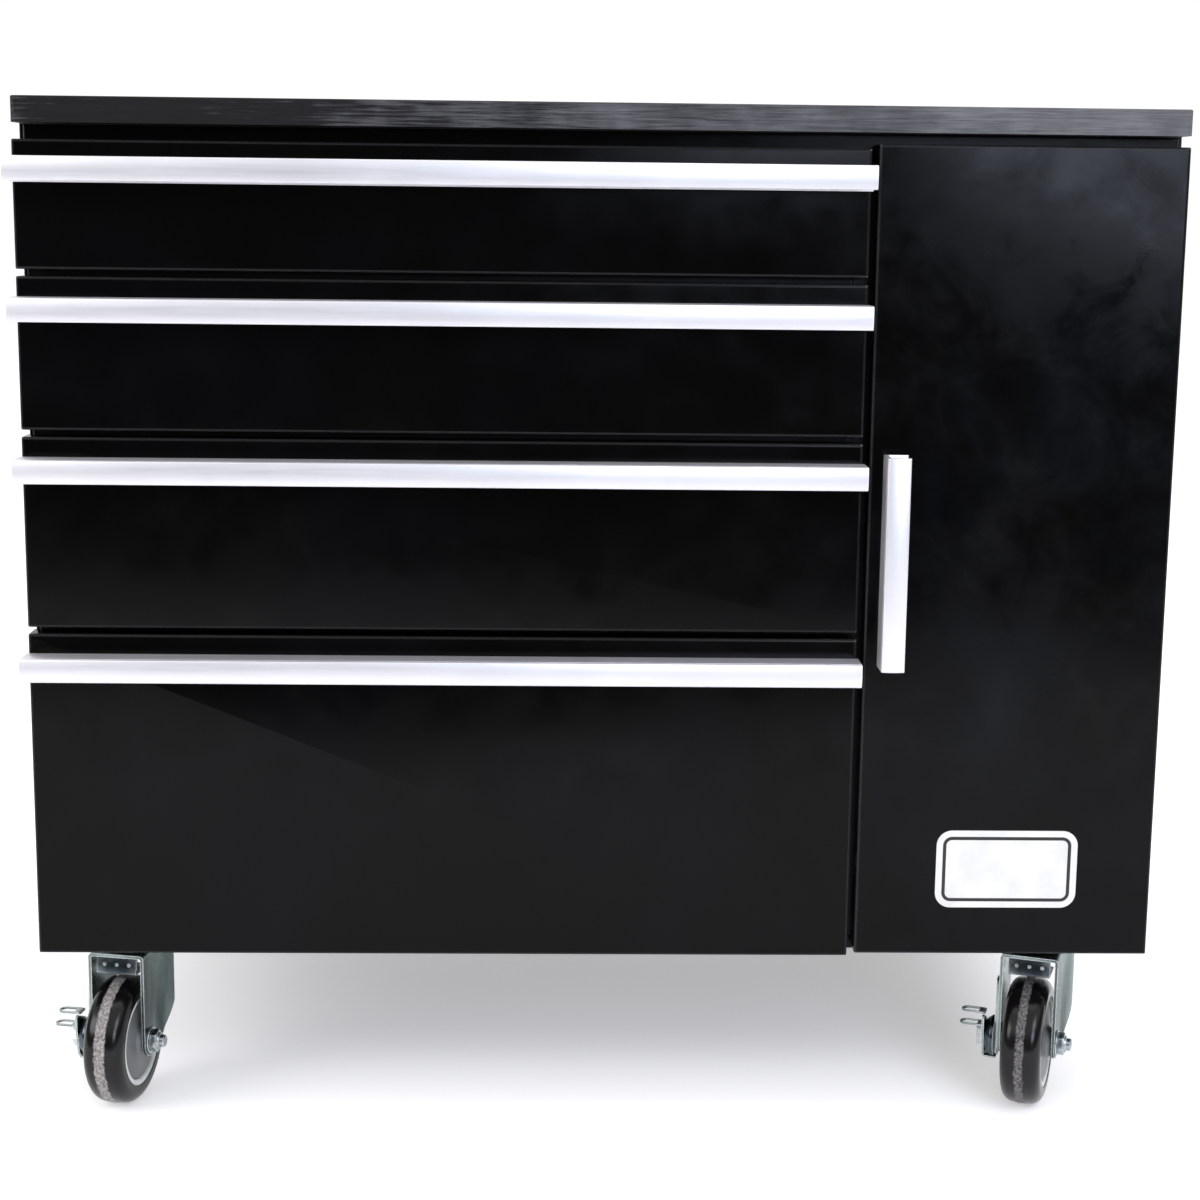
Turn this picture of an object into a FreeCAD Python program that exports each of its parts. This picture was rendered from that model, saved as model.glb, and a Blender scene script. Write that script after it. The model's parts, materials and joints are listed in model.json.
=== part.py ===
import FreeCAD, Part
import math
import os
import re

import Sketcher

os.makedirs("parts", exist_ok=True)

# Rolling tool chest: four drawers on the left, one door on the right, worktop above,
# four swivel casters below. Millimetres. Row frame: +X right, +Y back, +Z up, the
# origin on the floor under the middle of the bounding box. In the formulas "across"
# is measured from the drawers' left edge, "back" from the fronts' outer face and
# "up" from the floor.

SIZES = {
    # overall
    "overall_width": 863.6,
    "worktop_thickness": 19.05,
    "worktop_depth": 609.6,
    "worktop_nose": 5.0,
    "worktop_corner": 4.0,
    "worktop_edge_round": 1.2,
    # sheet-steel carcass
    "sheet_steel": 1.5,
    "side_reveal": 1.0,
    "hem_depth": 12.0,
    "flange": 16.0,
    "front_air": 2.5,
    "back_air": 3.1,
    "top_lip": 28.0,
    "base_lip": 12.0,
    "top_frame_band": 60.0,
    "rail_height": 20.0,
    "rail_depth": 18.0,
    "divider_width": 20.0,
    # drawer and door fronts
    "front_depth": 22.0,
    "front_round": 2.0,
    "front_lift": 2.3,
    "top_recess": 11.65,
    "front_gap": 5.1,
    "centre_gap": 5.5,
    "drawer_front_width": 628.4,
    "front_height_1": 93.9,
    "front_height_2": 113.4,
    "front_height_3": 144.3,
    "front_height_4": 252.2,
    "door_drop": 2.1,
    "door_rise": 3.7,
    # drawer boxes
    "box_steel": 1.2,
    "box_length": 550.0,
    "box_lift": 14.0,
    "box_headroom": 22.0,
    "box_rim": 8.0,
    # drawer slides
    "slide_thickness": 12.7,
    "slide_height": 45.0,
    "slide_length": 545.0,
    "slide_setback": 38.0,
    "slide_lift": 30.0,
    "slide_steel": 1.2,
    "slide_race": 2.8,
    "slide_play": 0.3,
    "slide_middle_in": 2.0,
    "slide_lip": 9.5,
    # channel pulls
    "handle_projection": 26.0,
    "handle_plate": 17.5,
    "handle_leg": 18.6,
    "handle_wall": 1.8,
    "handle_crown": 1.2,
    "handle_overhang": 1.4,
    "handle_groove": 1.0,
    "handle_drop": 14.7,
    "handle_drop_top": 12.3,
    "door_handle_length": 162.0,
    "door_handle_inset": 10.2,
    "door_handle_lift": 229.9,
    # door hinges and catch
    "hinge_pin_in": 9.0,
    "hinge_pin_radius": 2.5,
    "hinge_play": 0.06,
    "hinge_arm": 7.0,
    "hinge_arm_thickness": 4.0,
    "hinge_arm_reach": 45.0,
    "hinge_foot_length": 32.0,
    "hinge_foot_height": 40.0,
    "hinge_ear": 2.0,
    "hinge_ear_gap": 0.5,
    "hinge_ear_in": 8.0,
    "hinge_ear_out": 4.0,
    "hinge_bracket_in": 16.0,
    "hinge_notch": 9.0,
    "hinge_inset": 90.0,
    "catch_width": 13.0,
    "catch_height": 40.0,
    "catch_length": 28.0,
    "catch_air": 0.4,
    "strike_steel": 2.0,
    # shelf
    "shelf_lift": 309.8,
    "shelf_lip": 18.0,
    "shelf_setback": 62.0,
    "shelf_air": 1.0,
    "clip_size": 12.0,
    "clip_from_back": 48.0,
    # casters
    "caster_inset": 66.4,
    "caster_front_back": 76.8,
    "caster_rear_back": 530.0,
    "caster_turn_front_left": 11.7,
    "caster_turn_front_right": 20.2,
    "caster_turn_rear_left": 14.0,
    "caster_turn_rear_right": -9.0,
    "caster_trail": 45.0,
    "plate_width": 66.0,
    "plate_length": 92.0,
    "plate_thickness": 3.0,
    "plate_corner": 6.0,
    "race_radius": 24.0,
    "race_height": 2.8,
    "swivel_play": 0.3,
    "kingpin_radius": 6.0,
    "kingpin_play": 0.06,
    "kingpin_head_radius": 9.0,
    "kingpin_head_height": 4.0,
    "bolt_spacing_across": 44.5,
    "bolt_spacing_along": 73.0,
    "bolt_radius": 3.9,
    "bolt_head_radius": 7.0,
    "bolt_head_height": 4.5,
    "bolt_play": 0.1,
    # fork
    "fork_steel": 2.6,
    "fork_inside": 40.6,
    "fork_tail": 24.0,
    "fork_leg_back": 47.0,
    "fork_knee_up": 22.0,
    "fork_waist_back": 24.0,
    "fork_waist_up": 4.0,
    "fork_lug_radius": 12.5,
    # wheel, axle and brake
    "wheel_radius": 50.8,
    "tread_width": 32.0,
    "tread_inner": 36.5,
    "tread_round": 9.0,
    "tread_crown": 0.6,
    "core_width": 30.0,
    "core_dish": 3.5,
    "core_rim": 4.5,
    "hub_radius": 11.0,
    "hub_width": 39.6,
    "axle_radius": 5.0,
    "axle_play": 0.05,
    "axle_head_height": 5.0,
    "nut_radius": 9.2,
    "nut_height": 8.0,
    "axle_tail": 4.0,
    "shoe_steel": 2.0,
    "shoe_width": 33.0,
    "shoe_drop": 14.0,
    "shoe_clearance": 5.9,
    "shoe_foot": 26.0,
    "lever_steel": 2.5,
    "lever_width": 16.0,
    "lever_up": 50.0,
    "lever_down": 15.0,
    "lever_hub_radius": 16.5,
    "lever_hub_length": 9.6,
    "lever_play": 0.4,
    "tab_reach": 28.0,
    "tab_width": 11.0,
    "tab_steel": 1.6,
    "tab_slot": 5.0,
    "tab_high": 18.6,
    "tab_low": 10.4,
    "tab_step": 7.0,
    # screws under the worktop
    "screw_radius": 2.5,
    "screw_play": 0.1,
    "screw_head_radius": 5.0,
    "screw_head_height": 2.6,
    "screw_depth": 12.0,
    "screw_inset": 45.0,
}

# Lengths that follow from the sizes above.
DERIVED = {
    "cabinet_left": "-(overall_width - handle_overhang) / 2",
    "face": "(handle_projection - worktop_depth + worktop_nose) / 2",
    "carcass_front": "front_depth + front_air",
    "carcass_back": "worktop_depth - worktop_nose - back_air",
    "left_wall": "side_reveal + sheet_steel",
    "right_wall": "overall_width - side_reveal - sheet_steel",
    "rail_front": "carcass_front + sheet_steel",
    "rear_lip": "carcass_back - 3 * sheet_steel",
    "divider_left": "drawer_front_width + centre_gap / 2 - divider_width / 2",
    "divider_right": "divider_left + divider_width",
    "divider_front": "rail_front + sheet_steel",
    "bay_width": "divider_left - left_wall",
    "box_left": "left_wall + slide_thickness",
    "box_width": "bay_width - 2 * slide_thickness",
    "door_left": "drawer_front_width + centre_gap",
    "door_width": "overall_width - door_left",
    "crown_over_axle": "wheel_radius + shoe_clearance + shoe_drop",
    "crown_top": "wheel_radius + crown_over_axle + fork_steel",
    "plate_bottom": "crown_top + swivel_play + race_height",
    "caster_height": "plate_bottom + plate_thickness",
    "front_bottom_4": "caster_height + front_lift",
    "front_bottom_3": "front_bottom_4 + front_height_4 + front_gap",
    "front_bottom_2": "front_bottom_3 + front_height_3 + front_gap",
    "front_bottom_1": "front_bottom_2 + front_height_2 + front_gap",
    "fronts_top": "front_bottom_1 + front_height_1",
    "carcass_top": "fronts_top + top_recess",
    "door_bottom": "front_bottom_4 + door_drop",
    "door_height": "fronts_top + door_rise - door_bottom",
    "door_handle_bottom": "door_bottom + door_handle_lift",
    "catch_up": "door_handle_bottom + door_handle_length / 2",
    "shelf_up": "caster_height + shelf_lift",
    "hinge_across": "overall_width - hinge_pin_in",
    "hinge_low": "door_bottom + hinge_inset",
    "hinge_high": "door_bottom + door_height - hinge_inset",
    "fork_half": "fork_inside / 2 + fork_steel",
    "fork_front": "caster_trail + fork_lug_radius",
}

doc = FreeCAD.newDocument("tool_chest")


def make_sheet():
    """Write the sizes into the document's spreadsheet, one aliased cell each."""
    sheet = doc.addObject("Spreadsheet::Sheet", "Sizes")
    for row, (alias, number) in enumerate(SIZES.items(), start=1):
        sheet.set(f"A{row}", alias)
        sheet.set(f"B{row}", str(number))
        sheet.setAlias(f"B{row}", alias)
    doc.recompute()


def formula(text):
    """Turn a formula in plain size names into one that reads the spreadsheet."""
    def swap(match):
        word = match.group(0)
        if word in DERIVED:
            return "(" + formula(DERIVED[word]) + ")"
        return "Sizes." + word if word in SIZES else word
    return re.sub(r"[a-z][a-z_0-9]*", swap, text)


def bind(item, **properties):
    """Bind properties to formulas; a double underscore in a name stands for a dot."""
    for name, text in properties.items():
        item.setExpression(name.replace("__", "."), formula(str(text)))


def place(item, x="0", y="0", z="0"):
    """Put an object at a point of the row frame."""
    bind(item, Placement__Base__x=x, Placement__Base__y=y, Placement__Base__z=z)
    return item


def place_in_chest(item, across="0", back="0", up="0"):
    """Put an object at a point given from the drawers' left edge, outer face and floor."""
    return place(item, f"cabinet_left + {across}", f"face + {back}", up)


# ---------------------------------------------------------------- plain shapes

def box(name, corner, size, chest=True):
    """A block from its low corner and its three lengths."""
    block = doc.addObject("Part::Box", name)
    bind(block, Length=size[0], Width=size[1], Height=size[2])
    return (place_in_chest if chest else place)(block, *corner)


def rod(name, centre, radius, length, axis="z", chest=True):
    """A cylinder from the centre of its low end."""
    cylinder = doc.addObject("Part::Cylinder", name)
    turns = {"x": (FreeCAD.Vector(0, 1, 0), 90), "y": (FreeCAD.Vector(1, 0, 0), -90)}
    if axis in turns:
        cylinder.Placement = FreeCAD.Placement(FreeCAD.Vector(), FreeCAD.Rotation(*turns[axis]))
    bind(cylinder, Radius=radius, Height=length)
    return (place_in_chest if chest else place)(cylinder, *centre)


def nut(name, centre, radius, length, chest=True):
    """A hexagonal prism whose axis lies along X, from the centre of its low end."""
    prism = doc.addObject("Part::Prism", name)
    prism.Polygon = 6
    prism.Placement = FreeCAD.Placement(
        FreeCAD.Vector(), FreeCAD.Rotation(FreeCAD.Vector(0, 1, 0), 90))
    bind(prism, Circumradius=radius, Height=length)
    return (place_in_chest if chest else place)(prism, *centre)


def fuse(name, pieces):
    """Join overlapping or touching shapes into one solid."""
    joined = doc.addObject("Part::MultiFuse", name)
    joined.Shapes = pieces
    joined.Refine = True
    return joined


def cut(name, base, tools):
    """Take one or more shapes away from a base."""
    result = doc.addObject("Part::Cut", name)
    result.Base = base
    result.Tool = tools[0] if len(tools) == 1 else group(name + "_tools", tools)
    result.Refine = True
    return result


def group(name, pieces):
    """Several separate solids kept together as one node."""
    together = doc.addObject("Part::Compound", name)
    together.Links = pieces
    return together


# ------------------------------------------------------------ sketched bodies

def new_body(name):
    return doc.addObject("PartDesign::Body", name)


def sketch_on(body, name, role, lift=None):
    """A sketch on one of the body's own origin planes, lifted along the plane's normal."""
    sketch = body.newObject("Sketcher::SketchObject", name)
    plane = [item for item in body.Origin.OriginFeatures if item.Role == role][0]
    sketch.AttachmentSupport = (plane, [""])
    sketch.MapMode = "FlatFace"
    if lift is not None:
        bind(sketch, AttachmentOffset__Base__z=lift)
    return sketch


def outline(sketch, points):
    """A closed outline through points given as pairs of formulas."""
    count = len(points)
    first = len(sketch.Geometry)
    corners = [FreeCAD.Vector(math.cos(2 * math.pi * step / count),
                              math.sin(2 * math.pi * step / count), 0) for step in range(count)]
    for step in range(count):
        sketch.addGeometry(Part.LineSegment(corners[step], corners[(step + 1) % count]))
    for step in range(count):
        sketch.addConstraint(Sketcher.Constraint(
            "Coincident", first + step, 2, first + (step + 1) % count, 1))
    for step, (x, y) in enumerate(points):
        for kind, text in (("DistanceX", x), ("DistanceY", y)):
            index = sketch.addConstraint(Sketcher.Constraint(kind, first + step, 1, 1.0))
            sketch.setExpression(f"Constraints[{index}]", formula(text))


def rectangle(sketch, x0, y0, x1, y1):
    outline(sketch, [(x0, y0), (x1, y0), (x1, y1), (x0, y1)])


def circle(sketch, x, y, radius):
    """A circle whose centre and radius are formulas."""
    index = sketch.addGeometry(Part.Circle(FreeCAD.Vector(0, 0, 0), FreeCAD.Vector(0, 0, 1), 1.0))
    for kind, text in (("DistanceX", x), ("DistanceY", y)):
        line = sketch.addConstraint(Sketcher.Constraint(kind, index, 3, 1.0))
        sketch.setExpression(f"Constraints[{line}]", formula(text))
    line = sketch.addConstraint(Sketcher.Constraint("Radius", index, 1.0))
    sketch.setExpression(f"Constraints[{line}]", formula(radius))


def pad(body, name, sketch, length, reverse=False, middle=False):
    feature = body.newObject("PartDesign::Pad", name)
    feature.Profile = sketch
    feature.Reversed = reverse
    feature.Midplane = middle
    bind(feature, Length=length)
    return feature


def pocket(body, name, sketch, length, reverse=False, middle=False):
    feature = body.newObject("PartDesign::Pocket", name)
    feature.Profile = sketch
    feature.Reversed = reverse
    feature.Midplane = middle
    bind(feature, Length=length)
    return feature


def revolve(body, name, sketch, axis="H_Axis"):
    feature = body.newObject("PartDesign::Revolution", name)
    feature.Profile = sketch
    feature.ReferenceAxis = (sketch, [axis])
    feature.Angle = 360.0
    return feature


def round_edges(body, name, base, radius, wanted):
    """Fillet the edges of a feature for which wanted(edge, bounding box) is true."""
    doc.recompute()
    limits = base.Shape.BoundBox
    names = [f"Edge{number}" for number, edge in enumerate(base.Shape.Edges, start=1)
             if wanted(edge, limits)]
    feature = body.newObject("PartDesign::Fillet", name)
    feature.Base = (base, names)
    bind(feature, Radius=radius)
    return feature


def lies_at(value, coordinate):
    """A test for edges that lie wholly in the plane where a coordinate equals a limit."""
    def wanted(edge, limits):
        level = getattr(limits, value)
        return all(abs(getattr(vertex.Point, coordinate) - level) < 1e-6
                   for vertex in edge.Vertexes)
    return wanted


def upright(edge, limits):
    """A test for vertical straight edges."""
    start, end = edge.Vertexes[0].Point, edge.Vertexes[-1].Point
    return abs(start.x - end.x) < 1e-6 and abs(start.y - end.y) < 1e-6


# -------------------------------------------------------------------- carcass

def make_side_panel(name, right):
    """A folded side: web, hemmed front edge and a flange along the back."""
    body = new_body(name)
    sketch = sketch_on(body, name + "_profile", "XY_Plane")
    turn = "-" if right else ""
    depth = "(carcass_back - carcass_front - sheet_steel)"
    outline(sketch, [
        ("0", "0"),
        (f"{turn}2 * sheet_steel", "0"),
        (f"{turn}2 * sheet_steel", "hem_depth"),
        (f"{turn}sheet_steel", "hem_depth"),
        (f"{turn}sheet_steel", f"{depth} - sheet_steel"),
        (f"{turn}flange", f"{depth} - sheet_steel"),
        (f"{turn}flange", depth),
        ("0", depth),
    ])
    pad(body, name + "_pad", sketch, "carcass_top - caster_height")
    across = "overall_width - side_reveal" if right else "side_reveal"
    place_in_chest(body, across, "carcass_front", "caster_height")


def make_back_panel():
    """A flat sheet over the rear flanges."""
    box("back_panel", ("side_reveal", "carcass_back - sheet_steel", "caster_height"),
        ("overall_width - 2 * side_reveal", "sheet_steel", "carcass_top - caster_height"))


def make_base_pan():
    """The floor of the carcass with a lip along its front and back."""
    width = "right_wall - left_wall"
    depth = "rear_lip + sheet_steel - rail_front"
    plate = box("base_plate", ("left_wall", "rail_front", "caster_height"),
                (width, depth, "sheet_steel"))
    front = box("base_front_lip", ("left_wall + sheet_steel", "rail_front", "caster_height"),
                (f"{width} - 2 * sheet_steel", "sheet_steel", "base_lip"))
    back = box("base_back_lip", ("left_wall + sheet_steel", "rear_lip", "caster_height"),
               (f"{width} - 2 * sheet_steel", "sheet_steel", "base_lip"))
    body = fuse("base_sheet", [plate, front, back])
    holes = []
    for caster in CASTERS:
        for number, (across, back_) in enumerate(caster.bolt_points(), start=1):
            holes.append(rod(f"base_hole_{caster.place}_{number}", (across, back_, "caster_height"),
                             "bolt_radius + bolt_play", "sheet_steel"))
    trimmed = trim_front_corners("base_sheet_trimmed", body, "caster_height", "base_lip")
    cut("base_pan", trimmed, holes)


def trim_front_corners(name, sheet, up, height):
    """Clear the two hemmed front edges of the sides out of a sheet between them."""
    left = box(name + "_left", ("left_wall", "rail_front", up),
               ("sheet_steel", "hem_depth - sheet_steel", height))
    right = box(name + "_right", ("right_wall - sheet_steel", "rail_front", up),
                ("sheet_steel", "hem_depth - sheet_steel", height))
    return cut(name, sheet, [left, right])


def make_top_frame():
    """A flat band under the worktop, open in the middle, lipped at front and back."""
    width = "right_wall - left_wall"
    depth = "rear_lip + sheet_steel - rail_front"
    up = "carcass_top - sheet_steel"
    band = box("top_band", ("left_wall", "rail_front", up), (width, depth, "sheet_steel"))
    opening = box("top_opening", ("left_wall + top_frame_band", "rail_front + top_frame_band", up),
                  (f"{width} - 2 * top_frame_band", f"{depth} - 2 * top_frame_band",
                   "sheet_steel"))
    front = box("top_front_lip", ("left_wall + sheet_steel", "rail_front",
                                  "carcass_top - top_lip"),
                (f"{width} - 2 * sheet_steel", "sheet_steel", "top_lip"))
    back = box("top_back_lip", ("left_wall + sheet_steel", "rear_lip", "carcass_top - top_lip"),
               (f"{width} - 2 * sheet_steel", "sheet_steel", "top_lip"))
    sheet = fuse("top_sheet", [cut("top_ring", band, [opening]), front, back])
    trimmed = trim_front_corners("top_sheet_trimmed", sheet, "carcass_top - top_lip", "top_lip")
    holes = [rod(f"top_hole_{number}", (across, back_, up), "screw_radius + screw_play",
                 "sheet_steel")
             for number, (across, back_) in enumerate(SCREW_POINTS, start=1)]
    cut("top_frame", trimmed, holes)


def make_divider():
    """A three-sided box column between the drawers and the cupboard, open at the back."""
    body = new_body("centre_divider")
    sketch = sketch_on(body, "divider_profile", "XY_Plane")
    depth = "(rear_lip - divider_front)"
    outline(sketch, [
        ("0", "0"), ("divider_width", "0"), ("divider_width", depth),
        ("divider_width - sheet_steel", depth), ("divider_width - sheet_steel", "sheet_steel"),
        ("sheet_steel", "sheet_steel"), ("sheet_steel", depth), ("0", depth)])
    pad(body, "divider_pad", sketch, "carcass_top - caster_height - 2 * sheet_steel")
    place_in_chest(body, "divider_left", "divider_front", "caster_height + sheet_steel")


def make_drawer_rails():
    """Three folded rails across the drawer bay, one behind each gap between fronts."""
    rails = []
    for number in (1, 2, 3):
        body = new_body(f"rail_{number}")
        sketch = sketch_on(body, f"rail_{number}_profile", "YZ_Plane")
        outline(sketch, [
            ("0", "0"), ("sheet_steel", "0"), ("sheet_steel", "rail_height - sheet_steel"),
            ("rail_depth", "rail_height - sheet_steel"), ("rail_depth", "rail_height"),
            ("0", "rail_height")])
        pad(body, f"rail_{number}_pad", sketch, "divider_left - left_wall - 2 * sheet_steel")
        place_in_chest(body, "left_wall + sheet_steel", "rail_front",
                       f"front_bottom_{number} - front_gap / 2 - rail_height / 2")
        rails.append(body)
    group("drawer_rails", rails)


def make_worktop():
    """The slab on top, its upright corners and its long edges rounded."""
    body = new_body("worktop")
    sketch = sketch_on(body, "worktop_outline", "XY_Plane")
    rectangle(sketch, "0", "0", "overall_width - 2 * side_reveal", "worktop_depth")
    slab = pad(body, "worktop_pad", sketch, "worktop_thickness")
    corners = round_edges(body, "worktop_corners", slab, "worktop_corner", upright)
    round_edges(body, "worktop_edges", corners, "worktop_edge_round", lies_at("ZMax", "z"))
    place_in_chest(body, "side_reveal", "-worktop_nose", "carcass_top")


SCREW_POINTS = [
    (across, back)
    for across in ("side_reveal + screw_inset", "overall_width / 2",
                   "overall_width - side_reveal - screw_inset")
    for back in ("carcass_front + screw_inset", "carcass_back - screw_inset")]


def make_worktop_screws():
    """Screws up through the top frame into blind holes in the worktop."""
    screws = []
    for number, (across, back) in enumerate(SCREW_POINTS, start=1):
        head = rod(f"screw_head_{number}",
                   (across, back, "carcass_top - sheet_steel - screw_head_height"),
                   "screw_head_radius", "screw_head_height")
        shank = rod(f"screw_shank_{number}", (across, back, "carcass_top - sheet_steel"),
                    "screw_radius", "screw_depth")
        screws.append(fuse(f"screw_{number}", [head, shank]))
    group("worktop_screws", screws)


def drill_worktop():
    """Sink the blind screw holes into the worktop's underside."""
    body = doc.getObject("worktop")
    sketch = sketch_on(body, "worktop_holes", "XY_Plane")
    for across, back in SCREW_POINTS:
        circle(sketch, f"{across} - side_reveal", f"{back} + worktop_nose",
               "screw_radius + screw_play")
    pocket(body, "worktop_drilling", sketch, "screw_depth", reverse=True)


# ------------------------------------------------------------- fronts, pulls

def make_pan(name, across, up, width, height):
    """A folded sheet front: a face with a return along each edge, open at the back."""
    body = new_body(name)
    face = sketch_on(body, name + "_face", "XZ_Plane")
    rectangle(face, "0", "0", width, height)
    block = pad(body, name + "_block", face, "front_depth")
    round_edges(body, name + "_bends", block, "front_round", lies_at("YMin", "y"))
    hollow = sketch_on(body, name + "_hollow", "XZ_Plane")
    rectangle(hollow, "sheet_steel", "sheet_steel", f"{width} - sheet_steel",
              f"{height} - sheet_steel")
    pocket(body, name + "_inside", hollow, "front_depth - sheet_steel", reverse=True)
    return place_in_chest(body, across, "front_depth", up)


def pull_outline():
    """The channel's cross-section: (back, up) from the top of its leg on the front."""
    return [
        ("0", "0"),
        ("-handle_projection + handle_wall + 2 * handle_groove", "0"),
        ("-handle_projection + handle_wall + 2 * handle_groove", "-handle_groove"),
        ("-handle_projection + handle_wall + handle_groove", "-handle_groove"),
        ("-handle_projection + handle_wall + handle_groove", "0"),
        ("-handle_projection + handle_crown", "0"),
        ("-handle_projection", "-handle_plate / 4"),
        ("-handle_projection", "-3 * handle_plate / 4"),
        ("-handle_projection + handle_crown", "-handle_plate"),
        ("-handle_projection + handle_wall + handle_crown", "-handle_plate"),
        ("-handle_projection + handle_wall + handle_crown", "-handle_wall - handle_groove"),
        ("-handle_wall", "-handle_wall - handle_groove"),
        ("-handle_wall", "-handle_leg"),
        ("0", "-handle_leg"),
    ]


def make_drawer_pull(number):
    """A channel along the whole drawer front, its fingers' opening underneath."""
    name = f"drawer_handle_{number}"
    body = new_body(name)
    sketch = sketch_on(body, name + "_profile", "YZ_Plane")
    outline(sketch, pull_outline())
    pad(body, name + "_pad", sketch, "drawer_front_width + 2 * handle_overhang")
    drop = "handle_drop_top" if number == 1 else "handle_drop"
    place_in_chest(body, "-handle_overhang", "0",
                   f"front_bottom_{number} + front_height_{number} - {drop}")


def make_door_pull():
    """The same channel, short and upright, open towards the hinges."""
    body = new_body("door_handle")
    sketch = sketch_on(body, "door_handle_profile", "XY_Plane")
    outline(sketch, [(f"-({up})", back) for back, up in pull_outline()])
    pad(body, "door_handle_pad", sketch, "door_handle_length")
    place_in_chest(body, "door_left + door_handle_inset", "0", "door_handle_bottom")


# -------------------------------------------------------------------- drawers

def make_drawer_box(number):
    """An open-topped tray behind its front, its sides a little higher than its back."""
    name = f"drawer_box_{number}"
    height = f"(front_height_{number} - box_lift - box_headroom)"
    body = new_body(name)
    floor = sketch_on(body, name + "_plan", "XY_Plane")
    rectangle(floor, "0", "0", "box_width", "box_length")
    pad(body, name + "_block", floor, height)
    hollow = sketch_on(body, name + "_hollow", "XY_Plane", "box_steel")
    rectangle(hollow, "box_steel", "box_steel", "box_width - box_steel", "box_length - box_steel")
    pocket(body, name + "_inside", hollow, height, reverse=True)
    rim = sketch_on(body, name + "_rim", "XZ_Plane", "-box_length")
    rectangle(rim, "box_steel", f"{height} - box_rim", "box_width - box_steel", height)
    pocket(body, name + "_low_back", rim, "box_steel", reverse=True)
    place_in_chest(body, "box_left", "front_depth", f"front_bottom_{number} + box_lift")


def channel(name, number, side, inner, outer, half, web, lip, length="slide_length"):
    """A slide member: a channel lying along Y. Its web is at inner, its lips reach outer."""
    across = f"left_wall + {inner}" if side == "left" else f"divider_left - {inner} - {web}"
    span = f"({outer} - ({inner}))"
    lips_at = f"left_wall + {inner}" if side == "left" else f"divider_left - ({outer})"
    middle = f"(front_bottom_{number} + box_lift + slide_lift)"
    parts = [
        box(f"{name}_web", (across, "slide_setback", f"{middle} - {half}"),
            (web, length, f"2 * ({half})")),
        box(f"{name}_low", (lips_at, "slide_setback", f"{middle} - {half}"),
            (span, length, lip)),
        box(f"{name}_high", (lips_at, "slide_setback", f"{middle} + {half} - {lip}"),
            (span, length, lip)),
    ]
    return fuse(name, parts)


def make_slides():
    """Ball-bearing slides: outer members on the carcass, middles between, inners on the box."""
    outers = []
    for number in (1, 2, 3, 4):
        middles, inners = [], []
        for side in ("left", "right"):
            tag = f"{number}_{side}"
            outers.append(channel(f"slide_outer_{tag}", number, side, "0", "slide_lip",
                                  "slide_height / 2", "slide_steel", "slide_steel"))
            middles.append(channel(f"slide_mid_{tag}", number, side, "slide_middle_in",
                                   "slide_thickness - slide_steel - slide_play",
                                   "(slide_height / 2 - slide_steel - slide_play)",
                                   "slide_steel", "slide_race"))
            inners.append(inner_member(tag, number, side))
        group(f"slide_middle_{number}", middles)
        group(f"slide_inner_{number}", inners)
    group("slide_outers", outers)


def inner_member(tag, number, side):
    """The member on the drawer box: its web lies against the box, its lips look outwards."""
    half = "(slide_height / 2 - slide_steel - 2 * slide_play - slide_race)"
    start = "(slide_middle_in + slide_steel + slide_play)"
    span = f"(slide_thickness - {start})"
    middle = f"(front_bottom_{number} + box_lift + slide_lift)"
    if side == "left":
        web_at, lips_at = "box_left - slide_steel", f"left_wall + {start}"
    else:
        web_at, lips_at = "box_left + box_width", "box_left + box_width"
    name = f"slide_in_{tag}"
    parts = [
        box(f"{name}_web", (web_at, "slide_setback", f"{middle} - {half}"),
            ("slide_steel", "slide_length", f"2 * {half}")),
        box(f"{name}_low", (lips_at, "slide_setback", f"{middle} - {half}"),
            (span, "slide_length", "slide_steel")),
        box(f"{name}_high", (lips_at, "slide_setback", f"{middle} + {half} - slide_steel"),
            (span, "slide_length", "slide_steel")),
    ]
    return fuse(name, parts)


# ----------------------------------------------------------------------- door

def make_door():
    """The door pan, its hinge-side return slotted where the two hinge arms pass."""
    body = make_pan("door_panel", "door_left", "door_bottom", "door_width", "door_height")
    slots = sketch_on(body, "door_slots", "YZ_Plane", "door_width")
    for level in ("hinge_low", "hinge_high"):
        rectangle(slots, "-(front_depth - sheet_steel)",
                  f"{level} - door_bottom - hinge_notch",
                  "sheet_steel", f"{level} - door_bottom + hinge_notch")
    body.Tip = pocket(body, "door_slotting", slots, "2 * sheet_steel")


def make_hinge_arms():
    """Arms fixed inside the right-hand side, each ending in an upright pin in the door."""
    arms = []
    for tag, level in (("low", "hinge_low"), ("high", "hinge_high")):
        arm = box(f"arm_{tag}_bar",
                  ("hinge_across - hinge_arm / 2", "hinge_pin_in - hinge_arm / 2",
                   f"{level} - hinge_arm_thickness / 2"),
                  ("hinge_arm", "hinge_arm_reach + hinge_arm / 2", "hinge_arm_thickness"))
        foot = box(f"arm_{tag}_foot",
                   ("hinge_across", "carcass_front + hem_depth + hinge_play",
                    f"{level} - hinge_foot_height / 2"),
                   ("right_wall - hinge_across", "hinge_foot_length", "hinge_foot_height"))
        pin = rod(f"arm_{tag}_pin", ("hinge_across", "hinge_pin_in", f"{level} - hinge_notch"),
                  "hinge_pin_radius", "2 * hinge_notch")
        arms.append(fuse(f"arm_{tag}", [arm, foot, pin]))
    group("door_hinge_arms", arms)


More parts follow.
